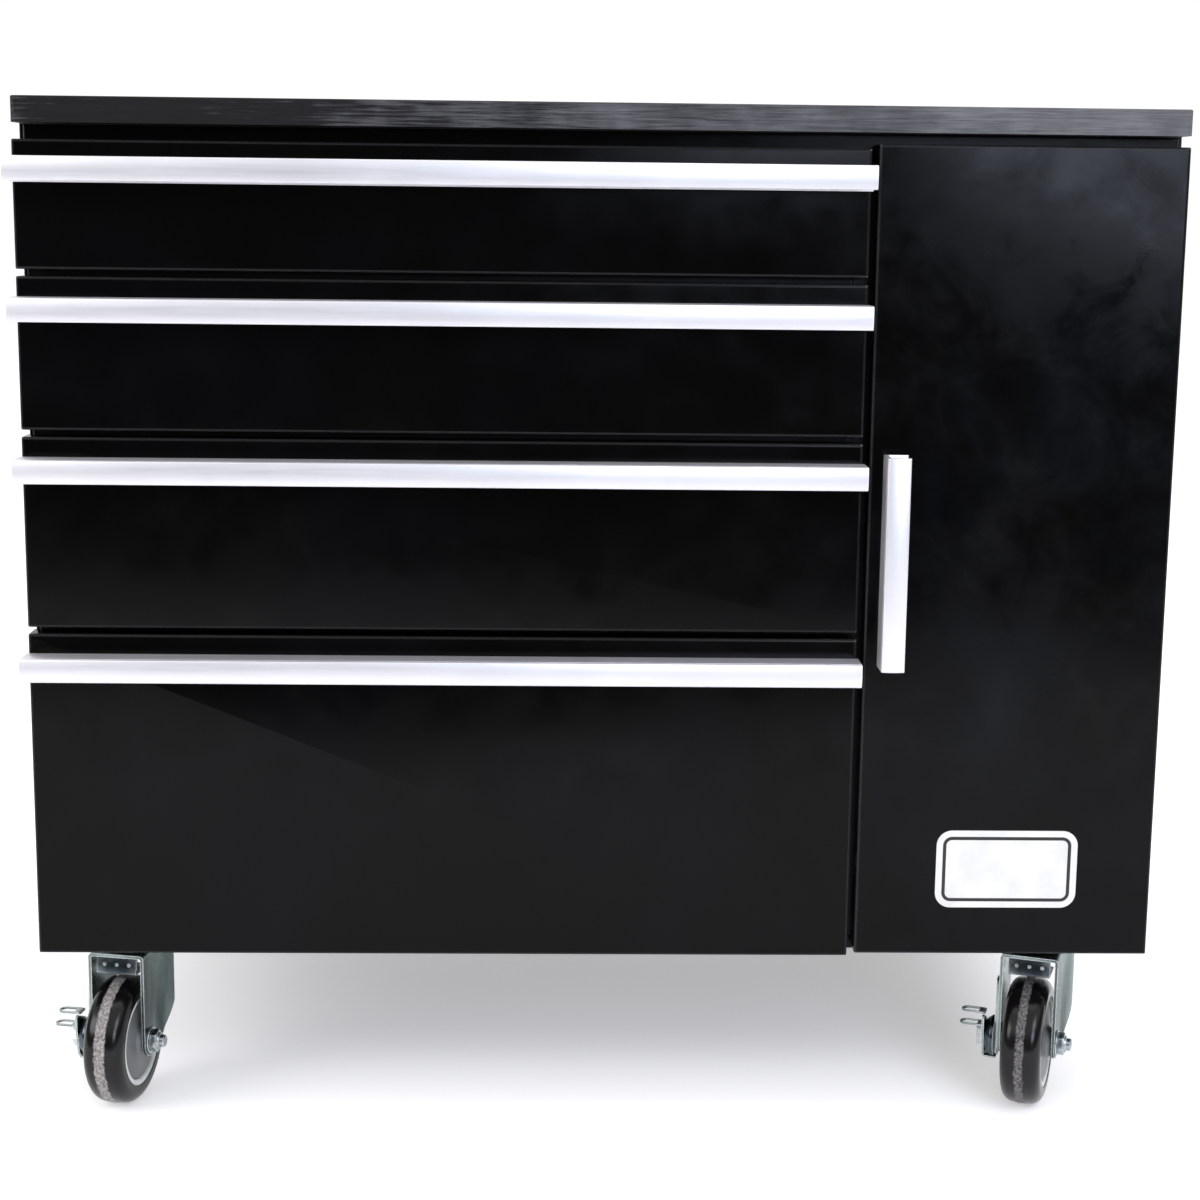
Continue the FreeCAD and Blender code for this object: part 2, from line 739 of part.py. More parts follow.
def make_hinge_brackets():
    """Brackets inside the door, two drilled ears each, that turn on the arms' pins."""
    brackets = []
    for tag, level in (("low", "hinge_low"), ("high", "hinge_high")):
        ears = []
        low_ear = f"{level} - hinge_arm_thickness / 2 - hinge_ear_gap - hinge_ear"
        high_ear = f"{level} + hinge_arm_thickness / 2 + hinge_ear_gap"
        for side, up in (("under", low_ear), ("over", high_ear)):
            ears.append(box(f"bracket_{tag}_{side}",
                            ("hinge_across - hinge_ear_in", "sheet_steel", up),
                            ("hinge_ear_in + hinge_ear_out",
                             "hinge_pin_in + hinge_ear_out", "hinge_ear")))
        height = "hinge_arm_thickness + 2 * hinge_ear_gap + 2 * hinge_ear"
        plate = box(f"bracket_{tag}_plate",
                    ("hinge_across - hinge_bracket_in", "sheet_steel", low_ear),
                    ("hinge_bracket_in + hinge_ear_out", "sheet_steel", height))
        hole = rod(f"bracket_{tag}_hole", ("hinge_across", "hinge_pin_in", low_ear),
                   "hinge_pin_radius + hinge_play", height)
        brackets.append(cut(f"bracket_{tag}", fuse(f"bracket_{tag}_body", ears + [plate]),
                            [hole]))
    group("door_hinge_brackets", brackets)


def make_catch():
    """A magnetic catch on the divider and its steel strike inside the door."""
    box("door_catch", ("divider_right", "front_depth + catch_air", "catch_up - catch_height / 2"),
        ("catch_width", "catch_length", "catch_height"))
    plate = box("strike_plate",
                ("door_left + sheet_steel", "front_depth - strike_steel",
                 "catch_up - catch_height / 2"),
                ("divider_right + catch_width - door_left - sheet_steel", "strike_steel",
                 "catch_height"))
    leg = box("strike_leg", ("door_left + sheet_steel", "front_round + sheet_steel",
                             "catch_up - catch_height / 2"),
              ("strike_steel", "front_depth - front_round - sheet_steel", "catch_height"))
    fuse("catch_strike", [plate, leg])


def make_shelf():
    """A lipped shelf in the cupboard, resting on four angle clips."""
    across = "divider_right + shelf_air"
    width = "(right_wall - divider_right - 2 * shelf_air)"
    depth = "(rear_lip - shelf_setback - 2 * shelf_air)"
    up = "shelf_up - shelf_lip"
    block = box("shelf_block", (across, "shelf_setback", up), (width, depth, "shelf_lip"))
    hollow = box("shelf_hollow",
                 (f"{across} + sheet_steel", "shelf_setback + sheet_steel", up),
                 (f"{width} - 2 * sheet_steel", f"{depth} - 2 * sheet_steel",
                  "shelf_lip - sheet_steel"))
    cut("shelf", block, [hollow])
    clips = []
    for side, (wall, ledge) in {
            "left": ("divider_right", "divider_right"),
            "right": ("right_wall - sheet_steel", "right_wall - clip_size")}.items():
        for row, back in (("front", "shelf_setback + clip_size"),
                          ("rear", "rear_lip - clip_from_back")):
            tag = f"clip_{side}_{row}"
            upright_part = box(tag + "_wall", (wall, back, f"{up} - clip_size"),
                               ("sheet_steel", "clip_size", "clip_size"))
            flat_part = box(tag + "_ledge", (ledge, back, f"{up} - sheet_steel"),
                            ("clip_size", "clip_size", "sheet_steel"))
            clips.append(fuse(tag, [upright_part, flat_part]))
    group("shelf_clips", clips)


# -------------------------------------------------------------------- casters

class Caster:
    """One swivel caster: where it stands, how far it is turned and whether it brakes."""

    def __init__(self, place, across, back, braked):
        self.place = place
        self.across = across
        self.back = back
        self.turn = f"caster_turn_{place}"
        self.braked = braked

    def bolt_points(self):
        """The four bolts through the top plate, as (across, back) formulas."""
        return [(f"{self.across} {x} bolt_spacing_across / 2",
                 f"{self.back} {y} bolt_spacing_along / 2") for x in "+-" for y in "+-"]

    def stand(self, item, up):
        """Turn an object about the swivel axis and put it under the chest."""
        item.Placement = FreeCAD.Placement(
            FreeCAD.Vector(), FreeCAD.Rotation(FreeCAD.Vector(0, 0, 1), 1))
        bind(item, Placement__Rotation__Angle=f"-{self.turn}")
        return place_in_chest(item, self.across, self.back, up)

    def make_fork(self):
        """A pressed fork: a crown with the kingpin's hole and two tapering legs."""
        name = f"fork_{self.place}"
        body = new_body(name)
        crown = sketch_on(body, name + "_crown_plan", "XY_Plane", "crown_over_axle")
        rectangle(crown, "-fork_half", "-fork_front", "fork_half", "fork_tail")
        circle(crown, "0", "0", "kingpin_radius + kingpin_play")
        pad(body, name + "_crown", crown, "fork_steel")
        for side, lift in (("right", "fork_inside / 2"), ("left", "-fork_half")):
            leg = sketch_on(body, f"{name}_{side}_side", "YZ_Plane", lift)
            outline(leg, [
                ("-fork_front", "crown_over_axle + fork_steel"), ("-fork_front", "0"),
                ("-caster_trail + fork_lug_radius", "0"),
                ("-fork_waist_back", "fork_waist_up"),
                ("-(fork_front - fork_leg_back)", "fork_knee_up"),
                ("-(fork_front - fork_leg_back)", "crown_over_axle + fork_steel")])
            pad(body, f"{name}_{side}_leg", leg, "fork_steel")
            lug = sketch_on(body, f"{name}_{side}_end", "YZ_Plane", lift)
            circle(lug, "-caster_trail", "0", "fork_lug_radius")
            pad(body, f"{name}_{side}_lug", lug, "fork_steel")
        axle = sketch_on(body, name + "_axle_hole", "YZ_Plane")
        circle(axle, "-caster_trail", "0", "axle_radius + axle_play")
        body.Tip = pocket(body, name + "_drilling", axle, "2 * fork_half", middle=True)
        self.stand(body, "wheel_radius")

    def make_wheel(self):
        """A rounded tread moulded over a dished core with a long hub."""
        tread = new_body(f"wheel_tread_{self.place}")
        profile = sketch_on(tread, f"tread_profile_{self.place}", "XY_Plane")
        bind(profile, AttachmentOffset__Base__y="-caster_trail")
        half = "tread_width / 2"
        right = [(f"{half} - {1 - math.cos(turn):.4f} * tread_round",
                  f"wheel_radius - tread_crown - {1 - math.sin(turn):.4f} * tread_round")
                 for turn in (math.radians(degrees) for degrees in (0, 30, 60, 90))]
        left = [(f"-({across})", up) for across, up in reversed(right)]
        outline(profile, [(f"-{half}", "tread_inner"), (half, "tread_inner")] + right
                + [("0", "wheel_radius")] + left)
        revolve(tread, f"tread_{self.place}_turn", profile)
        self.stand(tread, "wheel_radius")

        core = new_body(f"wheel_core_{self.place}")
        profile = sketch_on(core, f"core_profile_{self.place}", "XY_Plane")
        bind(profile, AttachmentOffset__Base__y="-caster_trail")
        bore, rim = "axle_radius + axle_play", "tread_inner - core_rim"
        wide, thin, hub = "core_width / 2", "(core_width / 2 - core_dish)", "hub_width / 2"
        outline(profile, [
            (f"-{hub}", bore), (hub, bore), (hub, "hub_radius"), (thin, "hub_radius"),
            (thin, rim), (wide, rim), (wide, "tread_inner"), (f"-{wide}", "tread_inner"),
            (f"-{wide}", rim), (f"-{thin}", rim), (f"-{thin}", "hub_radius"),
            (f"-{hub}", "hub_radius")])
        revolve(core, f"core_{self.place}_turn", profile)
        self.stand(core, "wheel_radius")

    def make_axle(self):
        """The axle bolt, its head on the left and a lock nut on the right."""
        name = f"axle_bolt_{self.place}"
        lever = "(lever_play + lever_steel + lever_hub_length)" if self.braked else "0"
        start = f"-(fork_half + {lever} + lever_play)"
        shank = rod(name + "_shank", (start, "-caster_trail", "0"), "axle_radius",
                    f"2 * fork_half + {lever} + lever_play + nut_height + axle_tail",
                    axis="x", chest=False)
        head = nut(name + "_head", (f"{start} - axle_head_height", "-caster_trail", "0"),
                   "nut_radius", "axle_head_height", chest=False)
        lock = nut(name + "_nut", ("fork_half", "-caster_trail", "0"), "nut_radius",
                   "nut_height", chest=False)
        self.stand(fuse(name, [shank, head, lock]), "wheel_radius")

    def make_shoe(self):
        """The brake's shoe: an angle hung under the crown, its foot over the tread."""
        name = f"brake_shoe_{self.place}"
        bottom = "crown_over_axle - shoe_drop"
        front = "-(fork_front - shoe_steel)"
        face = box(name + "_face", ("-shoe_width / 2", front, bottom),
                   ("shoe_width", "shoe_steel", "shoe_drop"), chest=False)
        foot = box(name + "_foot", ("-shoe_width / 2", front, bottom),
                   ("shoe_width", "shoe_foot", "shoe_steel"), chest=False)
        self.stand(fuse(name, [face, foot]), "wheel_radius")

    def make_lever(self):
        """The brake's lever on the left leg, hung on the axle, with two looped foot tabs."""
        name = f"brake_lever_{self.place}"
        inner = "-(fork_half + lever_play)"
        plate = box(name + "_plate",
                    (f"{inner} - lever_steel", "-(caster_trail + lever_width / 2)",
                     "-lever_down"),
                    ("lever_steel", "lever_width", "lever_up + lever_down"), chest=False)
        hub = rod(name + "_hub", (f"{inner} - lever_steel - lever_hub_length",
                                  "-caster_trail", "0"),
                  "lever_hub_radius", "lever_steel + lever_hub_length", axis="x", chest=False)
        lip = box(name + "_lip", (f"{inner} - lever_hub_length", "-(caster_trail + tab_width)",
                                  "-lever_down - tab_steel"),
                  ("lever_hub_length", "tab_width", "tab_steel"), chest=False)
        pieces, slots = [plate, hub, lip], []
        for tab, up, shift in (("upper", "tab_high", "0"), ("lower", "tab_low", "tab_step")):
            reach = "(tab_reach - tab_width / 2)"
            middle = f"-(caster_trail + {shift})"
            root = f"{inner} - lever_steel"
            pieces.append(box(f"{name}_{tab}_arm", (f"{root} - {reach}",
                                                    f"{middle} - tab_width / 2", up),
                              (f"{reach} + lever_steel", "tab_width", "tab_steel"), chest=False))
            pieces.append(rod(f"{name}_{tab}_end", (f"{root} - {reach}", middle, up),
                              "tab_width / 2", "tab_steel", chest=False))
            slots.append(rod(f"{name}_{tab}_eye", (f"{root} - {reach}", middle, up),
                             "tab_slot / 2", "tab_steel", chest=False))
            slots.append(box(f"{name}_{tab}_slot", (f"{root} - {reach}",
                                                    f"{middle} - tab_slot / 2", up),
                             (f"{reach} - tab_slot / 2", "tab_slot", "tab_steel"), chest=False))
        hole = rod(name + "_hole", (f"{inner} - lever_steel - lever_hub_length",
                                    "-caster_trail", "0"),
                   "axle_radius + axle_play", "lever_steel + lever_hub_length", axis="x",
                   chest=False)
        lever = cut(name, fuse(name + "_body", pieces), slots + [hole])
        self.stand(lever, "wheel_radius")

    def make_plate(self):
        """The top plate with the swivel race and the kingpin that carries the fork."""
        name = f"plate_{self.place}"
        body = new_body(name)
        plan = sketch_on(body, name + "_plan", "XY_Plane", "race_height")
        rectangle(plan, "-plate_width / 2", "-plate_length / 2", "plate_width / 2",
                  "plate_length / 2")
        sheet = pad(body, name + "_pad", plan, "plate_thickness")
        round_edges(body, name + "_corners", sheet, "plate_corner", upright)
        race = sketch_on(body, name + "_race_plan", "XY_Plane")
        circle(race, "0", "0", "race_radius")
        pad(body, name + "_race", race, "race_height")
        pin = sketch_on(body, name + "_pin_plan", "XY_Plane")
        circle(pin, "0", "0", "kingpin_radius")
        pad(body, name + "_pin", pin, "fork_steel + 2 * swivel_play", reverse=True)
        rivet = sketch_on(body, name + "_rivet_plan", "XY_Plane",
                          "-(fork_steel + 2 * swivel_play)")
        circle(rivet, "0", "0", "kingpin_head_radius")
        pad(body, name + "_rivet", rivet, "kingpin_head_height", reverse=True)
        drill = sketch_on(body, name + "_holes_plan", "XY_Plane", "race_height")
        for x in ("bolt_spacing_across / 2", "-bolt_spacing_across / 2"):
            for y in ("bolt_spacing_along / 2", "-bolt_spacing_along / 2"):
                circle(drill, x, y, "bolt_radius + bolt_play")
        body.Tip = pocket(body, name + "_holes", drill, "plate_thickness", reverse=True)
        return place_in_chest(body, self.across, self.back, "plate_bottom - race_height")

    def make_bolts(self):
        """Bolts down through the base pan into the top plate, flush underneath."""
        bolts = []
        for number, (across, back) in enumerate(self.bolt_points(), start=1):
            tag = f"bolt_{self.place}_{number}"
            shank = rod(tag + "_shank", (across, back, "plate_bottom"), "bolt_radius",
                        "plate_thickness + sheet_steel")
            head = rod(tag + "_head", (across, back, "caster_height + sheet_steel"),
                       "bolt_head_radius", "bolt_head_height")
            bolts.append(fuse(tag, [shank, head]))
        return bolts


LEFT, RIGHT = "caster_inset", "overall_width - caster_inset"
CASTERS = [
    Caster("front_left", LEFT, "caster_front_back", True),
    Caster("front_right", RIGHT, "caster_front_back", True),
    Caster("rear_left", LEFT, "caster_rear_back", False),
    Caster("rear_right", RIGHT, "caster_rear_back", False),
]


def make_casters():
    for caster in CASTERS:
        caster.make_fork()
        caster.make_wheel()
        caster.make_axle()
        if caster.braked:
            caster.make_shoe()
            caster.make_lever()
    group("caster_plates", [caster.make_plate() for caster in CASTERS])
    group("caster_bolts", [bolt for caster in CASTERS for bolt in caster.make_bolts()])


# --------------------------------------------------------------------- output

NODES = (
    ["side_panel_left", "side_panel_right", "back_panel", "base_pan", "top_frame",
     "centre_divider", "drawer_rails", "worktop", "worktop_screws", "shelf", "shelf_clips",
     "slide_outers", "caster_plates", "caster_bolts", "door_hinge_arms", "door_catch",
     "door_panel", "door_handle", "door_hinge_brackets", "catch_strike"]
    + [f"{piece}_{number}" for number in (1, 2, 3, 4) for piece in
       ("drawer_box", "drawer_front", "drawer_handle", "slide_inner", "slide_middle")]
    + [f"{piece}_{caster.place}" for caster in CASTERS for piece in
       ("fork", "wheel_tread", "wheel_core", "axle_bolt")]
    + [f"{piece}_{caster.place}" for caster in CASTERS if caster.braked for piece in
       ("brake_shoe", "brake_lever")])


def make_chest():
    make_sheet()
    make_side_panel("side_panel_left", right=False)
    make_side_panel("side_panel_right", right=True)
    make_back_panel()
    make_base_pan()
    make_top_frame()
    make_divider()
    make_drawer_rails()
    make_worktop()
    make_worktop_screws()
    drill_worktop()
    for number in (1, 2, 3, 4):
        make_pan(f"drawer_front_{number}", "0", f"front_bottom_{number}", "drawer_front_width",
                 f"front_height_{number}")
        make_drawer_pull(number)
        make_drawer_box(number)
    make_slides()
    make_door()
    make_door_pull()
    make_hinge_arms()
    make_hinge_brackets()
    make_catch()
    make_shelf()
    make_casters()
    doc.recompute()


def write_nodes():
    """Check every object, then write each sub-part to its own file."""
    broken = [item.Name for item in doc.Objects
              if "Invalid" in item.State or "Error" in item.State]
    if broken:
        raise RuntimeError(f"these did not build: {broken}")
    for name in NODES:
        node = doc.getObject(name)
        node.Label = name
        if node.Shape.isNull() or not node.Shape.isValid():
            raise RuntimeError(f"{name} is not a valid shape")
    for name in NODES:
        doc.getObject(name).Shape.exportStep(f"parts/{name}.step")


make_chest()
write_nodes()
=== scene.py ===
import json
import logging
import math
from dataclasses import dataclass, field
from enum import Enum
from typing import Any, Callable, Sequence

import bmesh
import bpy
from mathutils import Euler, Matrix, Vector


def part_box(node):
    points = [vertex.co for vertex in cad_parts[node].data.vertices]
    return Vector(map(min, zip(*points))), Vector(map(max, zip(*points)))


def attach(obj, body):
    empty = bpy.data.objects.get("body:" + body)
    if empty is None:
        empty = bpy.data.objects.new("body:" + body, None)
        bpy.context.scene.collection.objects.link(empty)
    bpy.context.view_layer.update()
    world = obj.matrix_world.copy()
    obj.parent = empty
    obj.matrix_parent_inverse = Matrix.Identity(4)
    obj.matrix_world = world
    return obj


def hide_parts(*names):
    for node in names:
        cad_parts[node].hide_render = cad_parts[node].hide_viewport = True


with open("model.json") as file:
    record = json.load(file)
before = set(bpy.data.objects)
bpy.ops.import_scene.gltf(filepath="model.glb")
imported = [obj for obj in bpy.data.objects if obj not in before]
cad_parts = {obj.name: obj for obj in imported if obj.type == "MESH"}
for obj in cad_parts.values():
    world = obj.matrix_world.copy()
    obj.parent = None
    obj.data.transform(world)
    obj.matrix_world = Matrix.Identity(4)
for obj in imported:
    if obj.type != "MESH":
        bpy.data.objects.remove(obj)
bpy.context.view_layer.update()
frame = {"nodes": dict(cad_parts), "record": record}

MM = 0.001
LOG = logging.getLogger("tool_chest")

Point = tuple[float, float]


# ------------------------------------------------------------------ materials

def linear(hex_colour: str) -> tuple[float, float, float, float]:
    """Turn an sRGB hex colour into linear light.

    Args:
        hex_colour: six hex digits, such as "1a1a1c".

    Returns:
        Red, green, blue and an alpha of one.
    """
    parts = [int(hex_colour[start:start + 2], 16) / 255 for start in (0, 2, 4)]
    light = [p / 12.92 if p <= 0.04045 else ((p + 0.055) / 1.055) ** 2.4 for p in parts]
    return (light[0], light[1], light[2], 1.0)


def add(tree: bpy.types.NodeTree, kind: str, inputs: dict[Any, Any] | None = None,
        **settings: Any) -> bpy.types.Node:
    """Add one node with its settings, and its sockets set or linked.

    Args:
        tree: the node tree to add to.
        kind: the node's type, without its "ShaderNode" prefix.
        inputs: socket name or number to a value, or to an output socket to link from.
        settings: the node's own properties.

    Returns:
        The new node.
    """
    node = tree.nodes.new("ShaderNode" + kind)
    for name, value in settings.items():
        setattr(node, name, value)
    for key, value in (inputs or {}).items():
        if isinstance(value, bpy.types.NodeSocket):
            tree.links.new(value, node.inputs[key])
        else:
            node.inputs[key].default_value = value
    return node


def ramp(tree: bpy.types.NodeTree, factor: bpy.types.NodeSocket,
         stops: Sequence[tuple[float, tuple[float, float, float, float]]]
         ) -> bpy.types.NodeSocket:
    """Map a factor through colour stops.

    Args:
        tree: the node tree.
        factor: the socket that drives the ramp.
        stops: pairs of position and colour, in rising order.

    Returns:
        The ramp's colour socket.
    """
    node = add(tree, "ValToRGB", {0: factor})
    elements = node.color_ramp.elements
    while len(elements) < len(stops):
        elements.new(0.5)
    for element, (position, colour) in zip(elements, stops):
        element.position = position
        element.color = colour
    return node.outputs[0]


def edge_highlight_mask(tree: bpy.types.NodeTree, width_mm: float) -> bpy.types.NodeSocket:
    """A mask that is one along a piece's folded or cut edges and zero on its faces; it places the
    painted edge highlights.

    Args:
        tree: the material's node tree.
        width_mm: how far the mask reaches from an edge.

    Returns:
        The mask's socket.
    """
    rounded_normal = add(tree, "Bevel", {"Radius": width_mm * MM}, samples=4)
    flat = add(tree, "NewGeometry").outputs["True Normal"]
    turned = add(tree, "VectorMath", {0: rounded_normal.outputs[0], 1: flat},
                 operation="DOT_PRODUCT")
    mask = add(tree, "MapRange", {0: turned.outputs[1], 1: 0.995, 2: 0.90, 3: 0.0, 4: 1.0})
    return mask.outputs[0]


def grey(level: float) -> tuple[float, float, float, float]:
    """A grey as a colour with an alpha of one."""
    return (level, level, level, 1.0)


def scale_for(size_mm: float) -> float:
    """The noise scale whose features are about this many millimetres across."""
    return 1.0 / (size_mm * MM)


@dataclass(frozen=True)
class Finish:
    """A surface finish; its material is made once and shared."""

    name: str

    def material(self) -> bpy.types.Material:
        """Return the finish's material, made on first use."""
        found = bpy.data.materials.get(self.name)
        if found is not None:
            return found
        made = bpy.data.materials.new(self.name)
        made.use_nodes = True
        made.node_tree.nodes.clear()
        shader = self.shade(made.node_tree)
        out = made.node_tree.nodes.new("ShaderNodeOutputMaterial")
        made.node_tree.links.new(shader.outputs[0], out.inputs[0])
        return made

    def shade(self, tree: bpy.types.NodeTree) -> bpy.types.Node:
        """Build the nodes.

        Args:
            tree: the material's node tree.

        Returns:
            The shader node whose first output is the surface.
        """
        raise NotImplementedError


@dataclass(frozen=True)
class PowderCoat(Finish):
    """Black polyester powder coat, sprayed and baked on folded steel.

    The eye sees a deep black with a soft sheen, a faint orange-peel ripple, and bluish smears where
    hands have wiped it; its folded edges carry a painted highlight, a pale colour where they catch
    the light.
    """

    colour: str = "040404"
    smear: str = "090a0d"
    smear_share: float = 0.5
    roughness: float = 0.17
    specular: float = 0.10
    peel_mm: float = 2.2
    smear_mm: float = 170.0
    haze: float = 0.01
    # painted highlight along the folded edges: its colour and how far it reaches
    rim: str = "a9a9af"
    highlight_mm: float = 0.9

    def shade(self, tree: bpy.types.NodeTree) -> bpy.types.Node:
        """Build the coat: tone drift, painted highlights on folded edges, smears in the gloss, orange
        peel.
        """
        place = add(tree, "TexCoord").outputs["Object"]
        drift = add(tree, "TexNoise", {"Vector": place, "Scale": scale_for(self.smear_mm),
                                       "Detail": 5.0, "Roughness": 0.62, "Distortion": 0.4})
        smears = ramp(tree, drift.outputs[0], [(0.44, grey(0.0)), (0.72, grey(self.smear_share))])
        colour = add(tree, "Mix", {0: smears, 6: linear(self.colour), 7: linear(self.smear)},
                     data_type="RGBA")
        # painted highlight: the folded edges take a pale colour, as where they catch the light
        highlit = add(tree, "Mix", {0: edge_highlight_mask(tree, self.highlight_mm), 6: colour.outputs[2],
                                  7: linear(self.rim)}, data_type="RGBA")
        wipes = add(tree, "TexNoise", {"Vector": place, "Scale": scale_for(38.0),
                                       "Detail": 4.0, "Roughness": 0.55})
        low, high = self.roughness - 0.05, self.roughness + 0.09
        gloss = add(tree, "MapRange", {0: wipes.outputs[0], 1: 0.3, 2: 0.75, 3: low, 4: high})
        # wiped patches stay glossy between hazy ones
        cloud = add(tree, "TexNoise", {"Vector": place, "Scale": scale_for(70.0),
                                       "Detail": 6.0, "Roughness": 0.65, "Distortion": 0.6})
        hazed = add(tree, "MapRange", {0: cloud.outputs[0], 1: 0.36, 2: 0.66,
                                       3: -self.haze, 4: self.haze})
        finish = add(tree, "Math", {0: gloss.outputs[0], 1: hazed.outputs[0]},
                     operation="ADD")
        peel = add(tree, "TexNoise", {"Vector": place, "Scale": scale_for(self.peel_mm),
                                      "Detail": 2.0, "Roughness": 0.5})
        bump = add(tree, "Bump", {"Strength": 0.10, "Distance": 0.00012,
                                  "Height": peel.outputs[0]})
        return add(tree, "BsdfPrincipled", {
            "Base Color": highlit.outputs[2], "Roughness": finish.outputs[0], "IOR": 1.5,
            "Normal": bump.outputs[0], "Specular IOR Level": self.specular})


@dataclass(frozen=True)
class ScuffedLaminate(Finish):
    """Black phenolic laminate on a board core, its edge sanded and handled.

    The eye sees a satin charcoal with fine lengthwise scratches and paler, dusty rubs along the edge;
    the rubs also carry a painted sheen that grows towards the right-hand end, where the light falls.
    """

    colour: str = "0f0f11"
    # the pale colour of the real rubs, which also carries the painted sheen towards +X
    rub_and_sheen: str = "6a6a6e"
    grain_mm: float = 1.6
    half_length_mm: float = 430.0

    def shade(self, tree: bpy.types.NodeTree) -> bpy.types.Node:
        """Build the laminate: streaks along X, dust patches, scratches, and a painted sheen that
        lightens it towards +X.
        """
        place = add(tree, "TexCoord").outputs["Object"]
        along = add(tree, "Mapping", {"Vector": place, "Scale": (0.035, 1.0, 1.0)})
        streak = add(tree, "TexNoise", {"Vector": along.outputs[0],
                                        "Scale": scale_for(self.grain_mm),
                                        "Detail": 6.0, "Roughness": 0.7})
        patch = add(tree, "TexNoise", {"Vector": place, "Scale": scale_for(90.0),
                                       "Detail": 4.0, "Roughness": 0.6})
        rubs = add(tree, "Math", {0: streak.outputs[0], 1: patch.outputs[0]},
                   operation="MULTIPLY")
        # painted sheen: the rubs grow paler towards +X, the end nearest the door, where the light
        # falls on the edge
        split = add(tree, "SeparateXYZ", {0: place})
        painted_sheen = add(tree, "MapRange", {0: split.outputs[0], 1: -self.half_length_mm * MM,
                                      2: self.half_length_mm * MM, 3: -0.14, 4: 0.11})
        worn = add(tree, "Math", {0: rubs.outputs[0], 1: painted_sheen.outputs[0]}, operation="ADD")
        share = ramp(tree, worn.outputs[0], [(0.16, grey(0.0)), (0.42, grey(1.0))])
        colour = add(tree, "Mix", {0: share, 6: linear(self.colour), 7: linear(self.rub_and_sheen)},
                     data_type="RGBA")
        gloss = add(tree, "MapRange", {0: streak.outputs[0], 1: 0.3, 2: 0.7, 3: 0.42, 4: 0.62})
        bump = add(tree, "Bump", {"Strength": 0.25, "Distance": 0.0001,
                                  "Height": streak.outputs[0]})
        return add(tree, "BsdfPrincipled", {
            "Base Color": colour.outputs[2], "Roughness": gloss.outputs[0], "IOR": 1.5,
            "Normal": bump.outputs[0], "Specular IOR Level": 0.25})


@dataclass(frozen=True)
class AnodisedAluminium(Finish):
    """Extruded aluminium, etched and clear anodised.

    The eye sees an even, pale silver with a satin glow and very fine die lines
    along the extrusion.
    """

    colour: str = "e2e1e6"
    roughness: float = 0.46
    metallic: float = 0.75
    line_mm: float = 0.7
    along: tuple[float, float, float] = (0.01, 1.0, 1.0)

    def shade(self, tree: bpy.types.NodeTree) -> bpy.types.Node:
        """Build the anodised surface: die lines, faint cloudiness."""
        place = add(tree, "TexCoord").outputs["Object"]
        lines = add(tree, "Mapping", {"Vector": place, "Scale": self.along})
        # drawn wider than real die lines, which would be too fine to show
        die = add(tree, "TexNoise", {"Vector": lines.outputs[0],
                                     "Scale": scale_for(self.line_mm),
                                     "Detail": 3.0, "Roughness": 0.6})
        cloud = add(tree, "TexNoise", {"Vector": place, "Scale": scale_for(60.0), "Detail": 3.0})
        tone = add(tree, "MapRange", {0: cloud.outputs[0], 1: 0.3, 2: 0.7, 3: 0.93, 4: 1.0})
        colour = add(tree, "Mix", {0: 1.0, 6: linear(self.colour), 7: tone.outputs[0]},
                     data_type="RGBA", blend_type="MULTIPLY")
        gloss = add(tree, "MapRange", {0: die.outputs[0], 1: 0.3, 2: 0.7,
                                       3: self.roughness - 0.05, 4: self.roughness + 0.07})
        bump = add(tree, "Bump", {"Strength": 0.08, "Distance": 0.00005,
                                  "Height": die.outputs[0]})
        return add(tree, "BsdfPrincipled", {
            "Base Color": colour.outputs[2], "Metallic": self.metallic,
            "Roughness": gloss.outputs[0], "Normal": bump.outputs[0]})


@dataclass(frozen=True)
class ZincPlate(Finish):
    """Pressed steel, electroplated with bright zinc and passivated blue.

    The eye sees a cool grey metal with soft bands of light and dull plating, and painted highlights,
    bright lines along the edges where they catch the light.
    """

    colour: str = "97a2a1"
    dull: str = "6f7c7b"
    # painted highlight along the edges: its colour and how far it reaches
    edge: str = "eef2f3"
    edge_mm: float = 0.8
    roughness: float = 0.24
    band: tuple[float, float, float] = (1.0, 1.0, 0.25)

    def shade(self, tree: bpy.types.NodeTree) -> bpy.types.Node:
        """Build the plating: banded tone, painted highlights on the edges, uneven gloss."""
        place = add(tree, "TexCoord").outputs["Object"]
        stretched = add(tree, "Mapping", {"Vector": place, "Scale": self.band})
        cloud = add(tree, "TexNoise", {"Vector": stretched.outputs[0],
                                       "Scale": scale_for(22.0), "Detail": 2.0,
                                       "Roughness": 0.45})
        spots = add(tree, "TexNoise", {"Vector": place, "Scale": scale_for(5.0), "Detail": 3.0})
        share = ramp(tree, cloud.outputs[0], [(0.36, grey(0.0)), (0.62, grey(1.0))])
        toned = add(tree, "Mix", {0: share, 6: linear(self.colour), 7: linear(self.dull)},
                    data_type="RGBA")
        # painted highlight: the edges take the pale highlight colour
        highlight_edges = edge_highlight_mask(tree, self.edge_mm)
        colour = add(tree, "Mix", {0: highlight_edges, 6: toned.outputs[2], 7: linear(self.edge)},
                     data_type="RGBA")
        face = add(tree, "MapRange", {0: spots.outputs[0], 1: 0.3, 2: 0.7,
                                      3: self.roughness - 0.04, 4: self.roughness + 0.06})
        gloss = add(tree, "Math", {0: highlight_edges, 1: 0.35, 2: face.outputs[0]},
                    operation="MULTIPLY_ADD")
        bump = add(tree, "Bump", {"Strength": 0.05, "Distance": 0.00008,
                                  "Height": spots.outputs[0]})
        return add(tree, "BsdfPrincipled", {
            "Base Color": colour.outputs[2], "Metallic": 1.0, "Roughness": gloss.outputs[0],
            "Normal": bump.outputs[0]})


